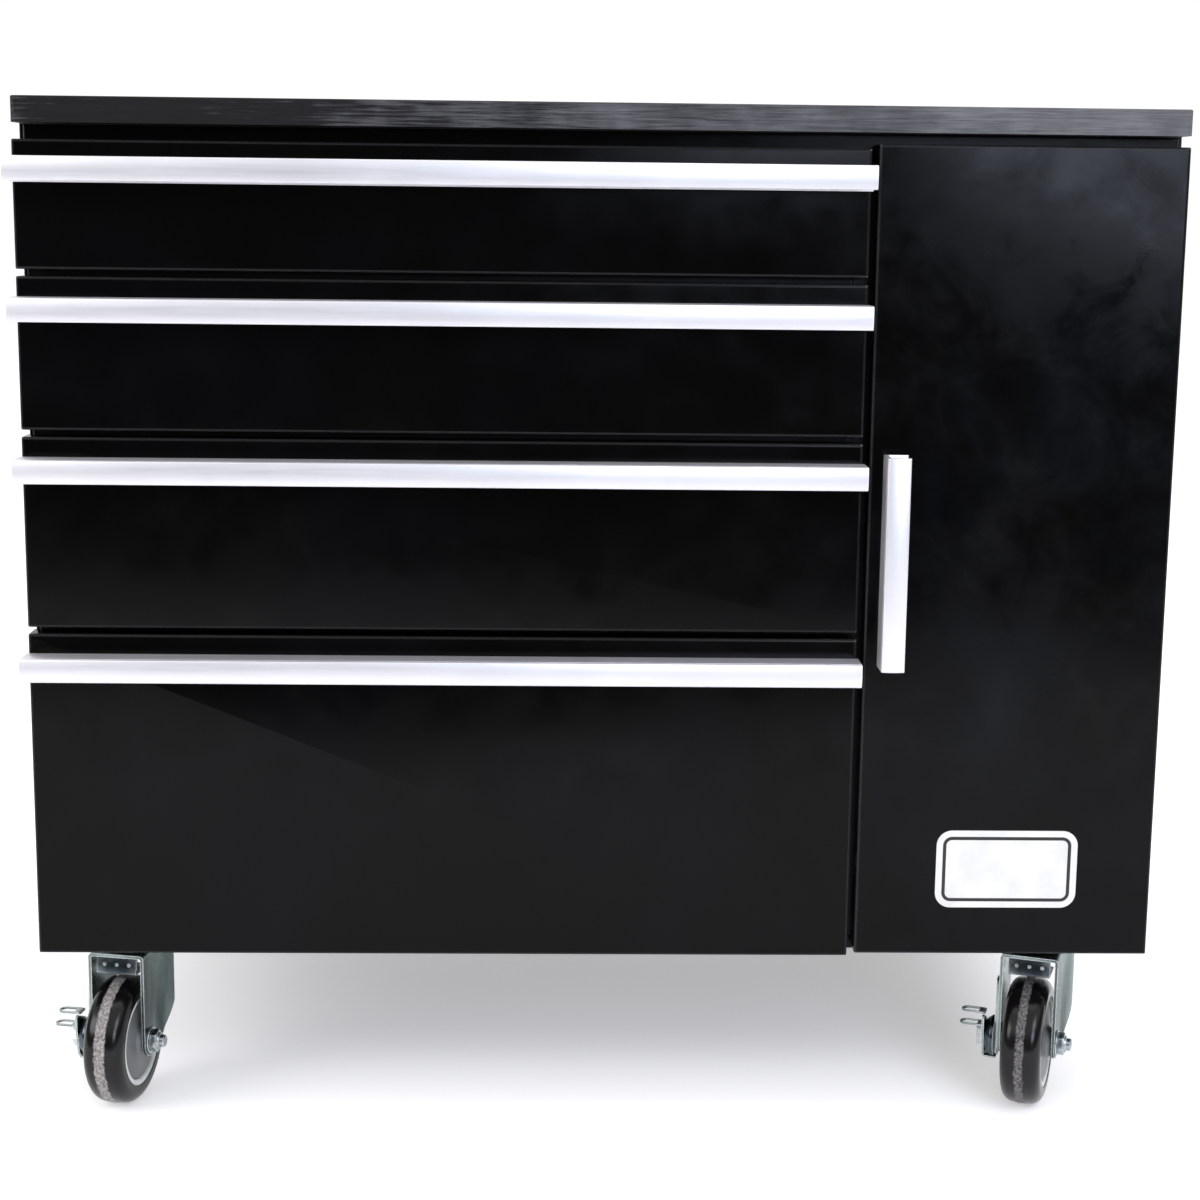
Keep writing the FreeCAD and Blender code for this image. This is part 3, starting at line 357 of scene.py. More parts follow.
@dataclass(frozen=True)
class CastTread(Finish):
    """Polyurethane tread, cast in a polished mould and rolled over a dusty floor.

    The eye sees a glossy brown-black shoulder and, along the middle of the tread
    where it meets the floor, a pale band of embedded dust.
    """

    colour: str = "0c0a0b"
    dust: str = "aca6a4"
    band_mm: float = 4.2
    edge_mm: float = 1.2
    speck_mm: float = 2.3
    clean_share: float = 0.22

    def shade(self, tree: bpy.types.NodeTree) -> bpy.types.Node:
        """Build the tread: the axle runs along the piece's own X."""
        place = add(tree, "TexCoord").outputs["Object"]
        split = add(tree, "SeparateXYZ", {0: place})
        ragged = add(tree, "TexNoise", {"Vector": place, "Scale": scale_for(4.0),
                                        "Detail": 6.0, "Roughness": 0.7})
        away = add(tree, "Math", {0: split.outputs[0]}, operation="ABSOLUTE")
        wander = add(tree, "MapRange", {0: ragged.outputs[0], 1: 0.25, 2: 0.75,
                                        3: -self.edge_mm * MM, 4: self.edge_mm * MM})
        edge = add(tree, "Math", {0: away.outputs[0], 1: wander.outputs[0]}, operation="ADD")
        radial = add(tree, "VectorMath", {0: place, 1: (0.0, 1.0, 1.0)}, operation="MULTIPLY")
        radius = add(tree, "VectorMath", {0: radial.outputs[0]}, operation="LENGTH")
        outside = add(tree, "Math", {0: radius.outputs[1], 1: 44.0 * MM},
                      operation="GREATER_THAN")
        band = add(tree, "MapRange", {0: edge.outputs[0], 1: (self.band_mm - 0.5) * MM,
                                      2: (self.band_mm + 0.6) * MM, 3: 1.0, 4: 0.0})
        # the dust's grit is drawn coarser than it is, so that it shows
        speck = add(tree, "TexNoise", {"Vector": place, "Scale": scale_for(self.speck_mm),
                                       "Detail": 4.0, "Roughness": 0.8})
        flecks = add(tree, "MapRange", {0: speck.outputs[0], 1: 0.40, 2: 0.61,
                                        3: self.clean_share, 4: 1.0})
        share = add(tree, "Math", {0: band.outputs[0], 1: flecks.outputs[0]},
                    operation="MULTIPLY")
        worn = add(tree, "Math", {0: share.outputs[0], 1: outside.outputs[0]},
                   operation="MULTIPLY")
        colour = add(tree, "Mix", {0: worn.outputs[0], 6: linear(self.colour),
                                   7: linear(self.dust)}, data_type="RGBA")
        gloss = add(tree, "MapRange", {0: worn.outputs[0], 1: 0.0, 2: 1.0, 3: 0.20, 4: 0.85})
        bump = add(tree, "Bump", {"Strength": 0.35, "Distance": 0.0002, "Height": worn.outputs[0]})
        return add(tree, "BsdfPrincipled", {
            "Base Color": colour.outputs[2], "Roughness": gloss.outputs[0], "IOR": 1.5,
            "Normal": bump.outputs[0], "Specular IOR Level": 0.3})


@dataclass(frozen=True)
class MouldedPlastic(Finish):
    """Injection-moulded nylon or polypropylene with a light spark texture.

    The eye sees one even colour with a dry sheen, slightly dusty in patches.
    """

    colour: str = "b9b9b6"
    dusty: str = "9b9a97"
    roughness: float = 0.45
    grain_mm: float = 0.9

    def shade(self, tree: bpy.types.NodeTree) -> bpy.types.Node:
        """Build the moulding: texture grain, dust."""
        place = add(tree, "TexCoord").outputs["Object"]
        dust = add(tree, "TexNoise", {"Vector": place, "Scale": scale_for(22.0), "Detail": 5.0})
        share = ramp(tree, dust.outputs[0], [(0.4, grey(0.0)), (0.7, grey(1.0))])
        colour = add(tree, "Mix", {0: share, 6: linear(self.colour), 7: linear(self.dusty)},
                     data_type="RGBA")
        grain = add(tree, "TexNoise", {"Vector": place, "Scale": scale_for(self.grain_mm),
                                       "Detail": 2.0})
        gloss = add(tree, "MapRange", {0: grain.outputs[0], 1: 0.3, 2: 0.7,
                                       3: self.roughness - 0.06, 4: self.roughness + 0.08})
        bump = add(tree, "Bump", {"Strength": 0.1, "Distance": 0.00008,
                                  "Height": grain.outputs[0]})
        return add(tree, "BsdfPrincipled", {
            "Base Color": colour.outputs[2], "Roughness": gloss.outputs[0], "IOR": 1.5,
            "Normal": bump.outputs[0]})


@dataclass(frozen=True)
class StudioFloor(Finish):
    """Opal acrylic studio floor, lit from below; the eye sees almost no texture."""

    colour: str = "f2f1f2"
    glow: float = 0.42

    def shade(self, tree: bpy.types.NodeTree) -> bpy.types.Node:
        """Build the floor: a barely visible mottle."""
        place = add(tree, "TexCoord").outputs["Object"]
        mottle = add(tree, "TexNoise", {"Vector": place, "Scale": 3.0, "Detail": 4.0})
        tone = add(tree, "MapRange", {0: mottle.outputs[0], 1: 0.3, 2: 0.7, 3: 0.985, 4: 1.0})
        colour = add(tree, "Mix", {0: 1.0, 6: linear(self.colour), 7: tone.outputs[0]},
                     data_type="RGBA", blend_type="MULTIPLY")
        return add(tree, "BsdfPrincipled", {
            "Base Color": colour.outputs[2], "Roughness": 0.9, "Specular IOR Level": 0.1,
            "Emission Color": colour.outputs[2], "Emission Strength": self.glow})


COAT = PowderCoat("powder_coated_steel")
DOOR_COAT = PowderCoat("powder_coated_steel_wiped", smear="0c0e12", smear_share=0.8,
                       roughness=0.20, haze=0.09)
INNER_COAT = PowderCoat("powder_coated_steel_inside", smear_share=0.2, roughness=0.42,
                        specular=0.3)
LAMINATE = ScuffedLaminate("phenolic_laminate_scuffed")
ANODISED = AnodisedAluminium("anodised_extruded_aluminium")
ANODISED_UPRIGHT = AnodisedAluminium("anodised_extruded_aluminium_upright",
                                     along=(1.0, 1.0, 0.01))
ZINC = ZincPlate("zinc_plated_pressed_steel")
FASTENER = ZincPlate("zinc_plated_fasteners", colour="d5dadc", dull="9fa8ab", roughness=0.24)
SLIDE_STEEL = ZincPlate("rolled_slide_steel", colour="a9adb0", dull="84898d", roughness=0.36)
FORK_STEEL = ZincPlate("zinc_plated_fork", colour="7f8c89", dull="4b5654", edge_mm=1.2,
                       roughness=0.28)
SHOE_STEEL = ZincPlate("zinc_plated_brake_shoe", colour="49535a", dull="2f373c", edge_mm=1.0,
                       roughness=0.22)
TREAD = CastTread("cast_polyurethane_tread_dusty")
TREAD_CLEANER = CastTread("cast_polyurethane_tread", dust="7b7877", band_mm=3.2,
                          clean_share=0.06)
RIM = MouldedPlastic("moulded_nylon_rim", colour="cfd2cf", dusty="b4b7b3")
HUB_COVER = MouldedPlastic("moulded_hub_cover", colour="5d5f60", dusty="6d6f70", roughness=0.4)
BLACK_PLASTIC = MouldedPlastic("moulded_black_plastic", colour="151516", dusty="202021")
LABEL = MouldedPlastic("printed_vinyl_label_blank", colour="dddcd9", dusty="d2d1ce",
                       roughness=0.38, grain_mm=1.4)
FLOOR = StudioFloor("studio_floor_opal")


# --------------------------------------------------------------------- meshes

class Plane(Enum):
    """The plane an outline is drawn in, as the world axes of its two coordinates."""

    YZ = (1, 2, 0)
    XZ = (0, 2, 1)
    XY = (0, 1, 2)


def rounded(points: Sequence[Point], radii: Sequence[float], steps: int = 5) -> list[Point]:
    """Round the corners of a closed outline.

    Args:
        points: the corners, in order.
        radii: one radius for each corner; zero keeps it sharp.
        steps: the segments in each rounded corner.

    Returns:
        The outline with arcs in place of its corners.
    """
    result: list[Point] = []
    count = len(points)
    for index, (corner, radius) in enumerate(zip(points, radii)):
        here = Vector(corner)
        before = Vector(points[index - 1]) - here
        after = Vector(points[(index + 1) % count]) - here
        if radius <= 0:
            result.append((here.x, here.y))
            continue
        half = before.angle(after) / 2
        reach = min(radius / math.tan(half), before.length * 0.499, after.length * 0.499)
        radius = reach * math.tan(half)
        start, end = here + before.normalized() * reach, here + after.normalized() * reach
        middle = here + (before.normalized() + after.normalized()).normalized() * (
            radius / math.sin(half))
        first, last = start - middle, end - middle
        sweep = first.angle_signed(last)
        for step in range(steps + 1):
            turned = first.copy()
            turned.rotate(Matrix.Rotation(-sweep * step / steps, 2))
            result.append((middle.x + turned.x, middle.y + turned.y))
    return result


def circle(across: float, up: float, radius: float, count: int = 40) -> list[Point]:
    """A closed circle of points."""
    return [(across + radius * math.cos(math.tau * step / count),
             up + radius * math.sin(math.tau * step / count)) for step in range(count)]


class Shaper:
    """Collects closed solids in millimetres and turns them into one piece."""

    def __init__(self) -> None:
        """Start with nothing."""
        self.mesh = bmesh.new()

    def prism(self, outline: Sequence[Point], low: float, high: float, plane: Plane
              ) -> "Shaper":
        """Add an outline pushed from one level to another.

        Args:
            outline: the closed outline.
            low: the level it starts at, along the plane's normal.
            high: the level it ends at.
            plane: the plane the outline is drawn in.

        Returns:
            This shaper.
        """
        rings = []
        for level in (low, high):
            ring = []
            for first, second in outline:
                spot = [0.0, 0.0, 0.0]
                spot[plane.value[0]], spot[plane.value[1]] = first, second
                spot[plane.value[2]] = level
                ring.append(self.mesh.verts.new(spot))
            rings.append(ring)
        self.mesh.faces.new(rings[0])
        self.mesh.faces.new(list(reversed(rings[1])))
        self._bridge(rings[0], rings[1])
        return self

    def holed_prism(self, outer: Sequence[Point], inner: Sequence[Point], low: float,
                    high: float, plane: Plane) -> "Shaper":
        """Add a prism with a hole; both outlines have the same number of points.

        Args:
            outer: the outside outline.
            inner: the hole's outline.
            low: the level it starts at.
            high: the level it ends at.
            plane: the plane the outlines are drawn in.

        Returns:
            This shaper.
        """
        rings = []
        for outline, level in ((outer, low), (outer, high), (inner, high), (inner, low)):
            ring = []
            for first, second in outline:
                spot = [0.0, 0.0, 0.0]
                spot[plane.value[0]], spot[plane.value[1]] = first, second
                spot[plane.value[2]] = level
                ring.append(self.mesh.verts.new(spot))
            rings.append(ring)
        for index in range(4):
            self._bridge(rings[index], rings[(index + 1) % 4])
        return self

    def lathe(self, profile: Sequence[Point], centre: tuple[float, float, float] = (0, 0, 0),
              axis: int = 0, steps: int = 96) -> "Shaper":
        """Add a closed profile turned about an axis.

        Args:
            profile: points of (distance along the axis, radius), closed.
            centre: a point on the axis.
            axis: the axis it turns about: 0, 1 or 2.
            steps: the segments in the full turn.

        Returns:
            This shaper.
        """
        others = [number for number in range(3) if number != axis]
        rings = []
        for step in range(steps):
            angle = math.tau * step / steps
            ring = []
            for along, radius in profile:
                spot = list(centre)
                spot[axis] += along
                spot[others[0]] += radius * math.cos(angle)
                spot[others[1]] += radius * math.sin(angle)
                ring.append(self.mesh.verts.new(spot))
            rings.append(ring)
        for step in range(steps):
            self._bridge(rings[step], rings[(step + 1) % steps])
        return self

    def loft(self, loops: Sequence[Sequence[tuple[float, float, float]]], closed: bool = False
             ) -> "Shaper":
        """Add a skin through loops of equal length, capped unless it closes on itself.

        Args:
            loops: the loops, in order.
            closed: whether the last loop joins the first.

        Returns:
            This shaper.
        """
        rings = [[self.mesh.verts.new(spot) for spot in loop] for loop in loops]
        for first, second in zip(rings, rings[1:]):
            self._bridge(first, second)
        if closed:
            self._bridge(rings[-1], rings[0])
        else:
            self.mesh.faces.new(rings[0])
            self.mesh.faces.new(list(reversed(rings[-1])))
        return self

    def _bridge(self, first: list[bmesh.types.BMVert], second: list[bmesh.types.BMVert]
                ) -> None:
        """Join two loops with quads."""
        count = len(first)
        for index in range(count):
            after = (index + 1) % count
            self.mesh.faces.new((first[index], second[index], second[after], first[after]))

    def piece(self, name: str, finish: Finish, place: Matrix | None = None,
              bevel_mm: float = 0.0, segments: int = 2, sharp_deg: float = 32.0
              ) -> bpy.types.Object:
        """Make the object.

        Args:
            name: the piece's name.
            finish: the finish it wears.
            place: where its own axes stand; none means the row frame.
            bevel_mm: the width of the bevel along its sharp edges.
            segments: the segments in that bevel.
            sharp_deg: edges sharper than this are bevelled and stay crisp.

        Returns:
            The new object, in metres.
        """
        mesh = self.mesh
        bmesh.ops.remove_doubles(mesh, verts=mesh.verts, dist=1e-4)
        bmesh.ops.recalc_face_normals(mesh, faces=mesh.faces)
        limit = math.radians(sharp_deg)
        if bevel_mm:
            edges = [edge for edge in mesh.edges
                     if edge.is_manifold and edge.calc_face_angle(0.0) > limit]
            bmesh.ops.bevel(mesh, geom=edges, offset=bevel_mm, segments=segments,
                            profile=0.5, affect="EDGES", clamp_overlap=True)
        for edge in mesh.edges:
            edge.smooth = not (edge.is_manifold and edge.calc_face_angle(0.0) > limit)
        for face in mesh.faces:
            face.smooth = True
        bmesh.ops.scale(mesh, vec=(MM, MM, MM), verts=mesh.verts)
        data = bpy.data.meshes.new(name)
        mesh.to_mesh(data)
        mesh.free()
        data.materials.append(finish.material())
        item = bpy.data.objects.new(name, data)
        bpy.context.scene.collection.objects.link(item)
        if place is not None:
            item.matrix_world = place
        return item


def baked(item: bpy.types.Object) -> bpy.types.Mesh:
    """The mesh that an object's modifiers make."""
    bpy.context.view_layer.update()
    graph = bpy.context.evaluated_depsgraph_get()
    return bpy.data.meshes.new_from_object(item.evaluated_get(graph))


def united(name: str, parts: Sequence[bpy.types.Object], finish: Finish,
           cutters: Sequence[bpy.types.Object] = (), bevel_mm: float = 0.0,
           sharp_deg: float = 32.0,
           shape: Callable[[bmesh.types.BMesh], None] | None = None) -> bpy.types.Object:
    """Weld solids into one skin, take cutters away and soften the edges.

    Args:
        name: the new piece's name.
        parts: the solids to join; they are used up.
        finish: the finish it wears.
        cutters: solids to take away; they are used up.
        bevel_mm: the bevel along its edges.
        sharp_deg: edges sharper than this are bevelled and stay crisp.
        shape: a function that reshapes the joined mesh before its edges are softened.

    Returns:
        The joined piece.
    """
    base = parts[0]
    for other, operation in ([(part, "UNION") for part in parts[1:]]
                             + [(cutter, "DIFFERENCE") for cutter in cutters]):
        step = base.modifiers.new("join", "BOOLEAN")
        step.operation, step.object, step.solver = operation, other, "EXACT"
    if shape is not None:
        joined = baked(base)
        mesh = bmesh.new()
        mesh.from_mesh(joined)
        shape(mesh)
        mesh.to_mesh(joined)
        mesh.free()
        base.modifiers.clear()
        base.data = joined
    if bevel_mm:
        soft = base.modifiers.new("soften", "BEVEL")
        soft.width, soft.segments = bevel_mm * MM, 2
        soft.limit_method, soft.angle_limit = "ANGLE", math.radians(sharp_deg)
    data = baked(base)
    place = base.matrix_world.copy()
    for used in list(parts) + list(cutters):
        bpy.data.objects.remove(used)
    shape = bmesh.new()
    shape.from_mesh(data)
    bmesh.ops.remove_doubles(shape, verts=shape.verts, dist=1e-7)
    for edge in shape.edges:
        edge.smooth = not (edge.is_manifold
                           and edge.calc_face_angle(0.0) > math.radians(sharp_deg))
    for face in shape.faces:
        face.smooth = True
        face.material_index = 0
    shape.to_mesh(data)
    shape.free()
    data.name = name
    data.materials.clear()
    data.materials.append(finish.material())
    item = bpy.data.objects.new(name, data)
    bpy.context.scene.collection.objects.link(item)
    item.matrix_world = place
    return item


def stands_for(piece: bpy.types.Object, body: str, slot: str, *nodes: str) -> None:
    """Tie a piece to its body, and hide the CAD nodes it stands for.

    Args:
        piece: the piece.
        body: the CAD body it moves with.
        slot: the record's material slot; not used.
        nodes: the CAD nodes it replaces.
    """
    if nodes:
        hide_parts(*nodes)
    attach(piece, body)
    LOG.info("%s rides on %s", piece.name, body)


def joint(name: str) -> dict[str, Any]:
    """The record's joint of this name."""
    return next(item for item in frame["record"]["behaviour"]["joints"]
                if item["name"] == name)


def box_mm(node: str) -> tuple[Vector, Vector]:
    """A node's lowest and highest corners, in millimetres."""
    low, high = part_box(node)
    return Vector(low) / MM, Vector(high) / MM


# --------------------------------------------------------------- channel pulls

@dataclass
class ChannelPull:
    """An extruded channel: a leg on the front, a web on top and a crowned plate."""

    node: str
    body: str
    upright: bool = False
    wall: float = 1.8
    crown: float = 1.2
    plate: float = 17.5
    groove: float = 0.9
    end_bevel: float = 0.35

    def outline(self, projection: float, leg: float) -> list[Point]:
        """The cross-section as (back, up) from the top of the leg on the front.

        Args:
            projection: how far the plate stands out.
            leg: the leg's height.

        Returns:
            The closed outline.
        """
        out, back = -projection, -projection + self.wall + self.crown
        points = [(0.0, 0.0), (back + 2.2 * self.groove, 0.0),
                  (back + 2.0 * self.groove, -self.groove), (back + self.groove, -self.groove),
                  (back + 0.8 * self.groove, 0.0)]
        bulge = 14
        for step in range(bulge + 1):
            share = step / bulge
            lift = 1 - (2 * share - 1) ** 2
            points.append((out + self.crown * (1 - lift), -self.plate * share))
        points += [(back, -self.plate), (back, -self.wall - 1.0), (-self.wall, -self.wall - 1.0),
                   (-self.wall, -leg), (0.0, -leg)]
        radii = [0.3, 0.15, 0.2, 0.2, 0.15, 0.7] + [0.0] * (bulge - 1) + [
            0.5, 0.4, 1.4, 1.4, 0.5, 0.2]
        return rounded(points, radii, steps=3)

    def build(self) -> None:
        """Build the pull where its CAD node stands."""
        low, high = box_mm(self.node)
        projection = high.y - low.y
        shaper = Shaper()
        if self.upright:
            leg = high.x - low.x
            shape = [(low.x - up, high.y + back) for back, up in self.outline(projection, leg)]
            shaper.prism(shape, low.z, high.z, Plane.XY)
        else:
            leg = high.z - low.z
            shape = [(high.y + back, high.z + up) for back, up in self.outline(projection, leg)]
            shaper.prism(shape, low.x, high.x, Plane.YZ)
        finish = ANODISED_UPRIGHT if self.upright else ANODISED
        piece = shaper.piece(self.node + "_extrusion", finish, bevel_mm=self.end_bevel,
                             sharp_deg=50.0)
        stands_for(piece, self.body, "anodised_aluminium", self.node)


# --------------------------------------------------------------- folded fronts

@dataclass
class FoldedFront:
    """A pan of sheet steel: flat face, small outside bends, returns on all sides."""

    node: str
    body: str
    finish: Finish = COAT
    sheet: float = 1.5
    bend: float = 2.2
    corner: float = 1.1
    slots: list[tuple[float, float]] = field(default_factory=list)

    def loop(self, low: Vector, high: Vector, inset: float, back: float
             ) -> list[tuple[float, float, float]]:
        """One rounded rectangle round the pan.

        Args:
            low: the pan's low corner.
            high: its high corner.
            inset: how far inside the outline the loop lies.
            back: its distance behind the face.

        Returns:
            The loop's points.
        """
        x0, x1, z0, z1 = low.x + inset, high.x - inset, low.z + inset, high.z - inset
        radius = max(self.corner - inset, 0.35)
        flat = rounded([(x0, z0), (x1, z0), (x1, z1), (x0, z1)], [radius] * 4, steps=4)
        return [(x, low.y + back, z) for x, z in flat]

    def build(self) -> None:
        """Build the pan where its CAD node stands."""
        low, high = box_mm(self.node)
        depth = high.y - low.y
        turns = [math.radians(angle) for angle in (0, 15, 30, 45, 60, 75, 90)]
        loops = [self.loop(low, high, self.bend * (1 - math.sin(turn)),
                           self.bend * (1 - math.cos(turn))) for turn in turns]
        loops.append(self.loop(low, high, 0.0, depth - 0.25))
        loops.append(self.loop(low, high, 0.25, depth))
        loops.append(self.loop(low, high, self.sheet, depth))
        loops.append(self.loop(low, high, self.sheet, self.sheet + 0.9))
        loops.append(self.loop(low, high, self.sheet + 0.9, self.sheet))
        name = self.node + "_pan"
        pan = Shaper().loft(loops).piece(name + "_skin", self.finish, sharp_deg=40.0)
        cutters = []
        for number, (bottom, top) in enumerate(self.slots):
            cutter = Shaper().prism(
                [(high.x - 3, bottom), (high.x + 3, bottom), (high.x + 3, top), (high.x - 3, top)],
                low.y + 1.5, high.y + 2, Plane.XZ)
            cutters.append(cutter.piece(f"{name}_slot_{number}", self.finish))
        if cutters:
            piece = united(name, [pan], self.finish, cutters)
        else:
            piece = pan
            piece.name = name
        stands_for(piece, self.body, "painted_steel", self.node)


@dataclass
class BlankLabel:
    """A plain vinyl label with round corners and one dark border, low on the door."""

    width: float = 110.0
    height: float = 62.0
    thickness: float = 0.25
    corner: float = 12.0
    border_in: float = 5.0
    border_width: float = 2.6
    from_right: float = 58.0
    from_bottom: float = 38.0

    def outline(self, inset: float) -> list[Point]:
        """The label's outline, drawn in by an inset.

        Args:
            inset: the distance inside the label's edge.

        Returns:
            The closed outline.
        """
        low, high = box_mm("door_panel")
        right, bottom = high.x - self.from_right - inset, low.z + self.from_bottom + inset
        left, top = right - self.width + 2 * inset, bottom + self.height - 2 * inset
        return rounded([(left, bottom), (right, bottom), (right, top), (left, top)],
                       [self.corner - inset] * 4, steps=10)

    def build(self) -> None:
        """Stick the label and its border on the door's face."""
        face = box_mm("door_panel")[0].y
        front = face - self.thickness
        blank = Shaper().prism(self.outline(0.0), front, face, Plane.XZ).piece(
            "door_label_blank", LABEL, bevel_mm=0.08)
        border = Shaper().holed_prism(
            self.outline(self.border_in), self.outline(self.border_in + self.border_width),
            front - 0.08, front, Plane.XZ).piece("door_label_border", BLACK_PLASTIC)
        for piece in (blank, border):
            stands_for(piece, "door", "painted_steel")


# --------------------------------------------------------------------- casters

class CasterPlace(Enum):
    """The four corners."""

    FRONT_LEFT = "front_left"
    FRONT_RIGHT = "front_right"
    REAR_LEFT = "rear_left"
    REAR_RIGHT = "rear_right"


@dataclass
class Caster:
    """A swivel caster, drawn about its axle: X along the axle, Y to the back, Z up."""

    where: CasterPlace
    braked: bool
    wheel_radius: float = 50.8
    trail: float = 45.0
    steel: float = 2.6
    inside: float = 20.3
    crown_low: float = 70.7
    lug: float = 12.5
    leg_back: float = 34.5
    knee: tuple[float, float] = (34.5, 22.0)
    waist: tuple[float, float] = (21.0, 4.0)
    flare: float = 7.0
    flare_from: float = 6.0
    shoe_drop: float = 14.0
    hub_cover_out: float = 19.6
    tail: float = 69.0
    tread_half: float = 16.0
    tread_inner: float = 36.5

    def place(self) -> Matrix:
        """The caster's own axes in the row frame, from its wheel's joint."""
        roll = joint(f"roll_{self.where.value}")
        across = Vector(roll["axis"]).normalized()
        up = Vector((0, 0, 1))
        back = up.cross(across)
        turn = Matrix((across, back, up)).transposed().to_4x4()
        return Matrix.Translation(Vector(roll["pos_m"])) @ turn

    def name(self, piece: str) -> str:
        """A piece's name with its corner."""
        return f"{piece}_{self.where.value}"

    def build(self) -> None:
        """Build every piece of the caster."""
        place = self.place()
        self.build_fork(place)
        self.build_wheel(place)
        self.build_axle(place)
        if self.braked:
            self.build_shoe(place)
            self.build_lever(place)

    def build_fork(self, place: Matrix) -> None:
        """A pressed fork with bent shoulders, tapering legs and round lugs."""
        outer, top = self.inside + self.steel, self.crown_low + self.steel
        low = self.knee[1] + 3.5
        arch = rounded(
            [(-outer, low), (-outer, top), (outer, top), (outer, low),
             (self.inside, low), (self.inside, self.crown_low),
             (-self.inside, self.crown_low), (-self.inside, low)],
            [0, 3.4, 3.4, 0, 0, 0.8, 0.8, 0], steps=6)
        parts = [Shaper().prism(arch, -self.lug, self.leg_back, Plane.XZ).piece("arch", FORK_STEEL)]
        leg = rounded([(-self.lug, low + 0.4), (-self.lug, -self.lug),
                       (self.lug, -self.lug), (self.waist[0] - 3.0, -2.0), self.waist,
                       self.knee, (self.leg_back, low + 0.4)],
                      [0, self.lug - 0.1, self.lug - 0.1, 8, 6, 7, 0], steps=10)
        for side in (-1, 1):
            near, far = sorted((side * self.inside, side * outer))
            parts.append(Shaper().prism(leg, near, far, Plane.YZ).piece("leg", FORK_STEEL))
        half = outer - 1.2
        tail = rounded([(-half, self.leg_back - 0.5), (half, self.leg_back - 0.5),
                        (half, self.tail), (-half, self.tail)], [0, 0, 16, 16], steps=10)
        parts.append(Shaper().prism(tail, self.crown_low, top, Plane.XY).piece("tail", FORK_STEEL))
        hole = Shaper().prism(circle(0, self.trail, 6.2), self.crown_low - 2, top + 2, Plane.XY)
        bore = Shaper().prism(circle(0, 0, 5.15), -outer - 2, outer + 2, Plane.YZ)
        cutters = [hole.piece("hole", FORK_STEEL), bore.piece("bore", FORK_STEEL)]
        fork = united(self.name("fork") + "_pressing", parts, FORK_STEEL, cutters, bevel_mm=0.45,
                      shape=self.flare_legs)
        fork.matrix_world = place
        dish = Shaper().lathe(rounded([(-3.2, 9.0), (0.0, 15.0), (0.0, 6.3), (-3.2, 6.3)],
                                      [1.2, 0.6, 0, 0]), (0, self.trail, self.crown_low), axis=2)
        washer = dish.piece(self.name("fork") + "_race_dish", ZINC, place)
        body = self.name("caster")
        stands_for(fork, body, "zinc_steel", self.name("fork"))
        stands_for(washer, body, "zinc_steel")

    def flare_legs(self, mesh: bmesh.types.BMesh) -> None:
        """Bend the legs outwards towards their back edges, as the press leaves them.

        The leg beside a brake lever stays flat, so that the lever can swing past it.

        Args:
            mesh: the fork's mesh in its own axes, in metres.
        """
        reach = self.leg_back - self.flare_from
        for step in range(9):
            cut = (self.flare_from + reach * step / 8) * MM
            bmesh.ops.bisect_plane(mesh, geom=mesh.verts[:] + mesh.edges[:] + mesh.faces[:],
                                   plane_co=(0, cut, 0), plane_no=(0, 1, 0))
        for vert in mesh.verts:
            share = min(max((vert.co.y / MM - self.flare_from) / reach, 0.0), 1.0)
            side = max(0.0 if self.braked else -1.0,
                       min(1.0, vert.co.x / (self.inside * MM)))
            vert.co.x += self.flare * MM * side * share * share * (3 - 2 * share)

    def build_wheel(self, place: Matrix) -> None:
        """A crowned tread, a pale rim and a darker hub cover on each side."""
        half, radius, inner = self.tread_half, self.wheel_radius, self.tread_inner
        shoulder = [(half, inner), (half, radius - 10.2)]
        for angle in range(0, 91, 9):
            turn = math.radians(angle)
            shoulder.append((half - 9.5 + 9.5 * math.cos(turn),
                             radius - 10.0 + 9.45 * math.sin(turn)))
        crest = [(half * share, radius - 0.55 * share * share / 0.165)
                 for share in (0.3, 0.2, 0.1, 0.0)]
        side = shoulder + [(along, min(up, radius)) for along, up in crest]
        profile = side + [(-along, up) for along, up in reversed(side[:-1])]
        tread = Shaper().lathe(profile, steps=128).piece(
            self.name("wheel_tread") + "_cast",
            TREAD if self.where is CasterPlace.FRONT_LEFT else TREAD_CLEANER, place,
            sharp_deg=50.0)
        stands_for(tread, self.name("wheel"), "tread", self.name("wheel_tread"))
        rim_out, rim_in, wide = inner - 0.05, inner - 4.6, half - 0.6
        rim = rounded([(wide, rim_in), (wide, rim_out), (-wide, rim_out), (-wide, rim_in),
                       (-wide + 3.4, rim_in - 0.3), (-wide + 4.4, 6.0), (wide - 4.4, 6.0),
                       (wide - 3.4, rim_in - 0.3)],
                      [1.4, 0.5, 0.5, 1.4, 0, 0, 0, 0], steps=4)
        core = Shaper().lathe(rim, steps=112).piece(
            self.name("wheel_core") + "_moulded", RIM, place)
        stands_for(core, self.name("wheel"), "wheel_core", self.name("wheel_core"))
        for side_name, sign in (("left", -1), ("right", 1)):
            cover = rounded([(sign * (wide - 4.2), rim_in - 0.4), (sign * (wide - 1.6), rim_in - 0.6),
                             (sign * (wide - 0.9), 24.0), (sign * (wide + 0.2), 14.0),
                             (sign * 19.6, 10.6), (sign * 19.6, 5.3),
                             (sign * (wide - 4.2), 5.3)],
                            [0, 0.8, 3, 3, 0.8, 0, 0], steps=4)
            cap = Shaper().lathe(cover, steps=96).piece(
                f"{self.name('hub_cover')}_{side_name}", HUB_COVER, place)
            stands_for(cap, self.name("wheel"), "wheel_core")

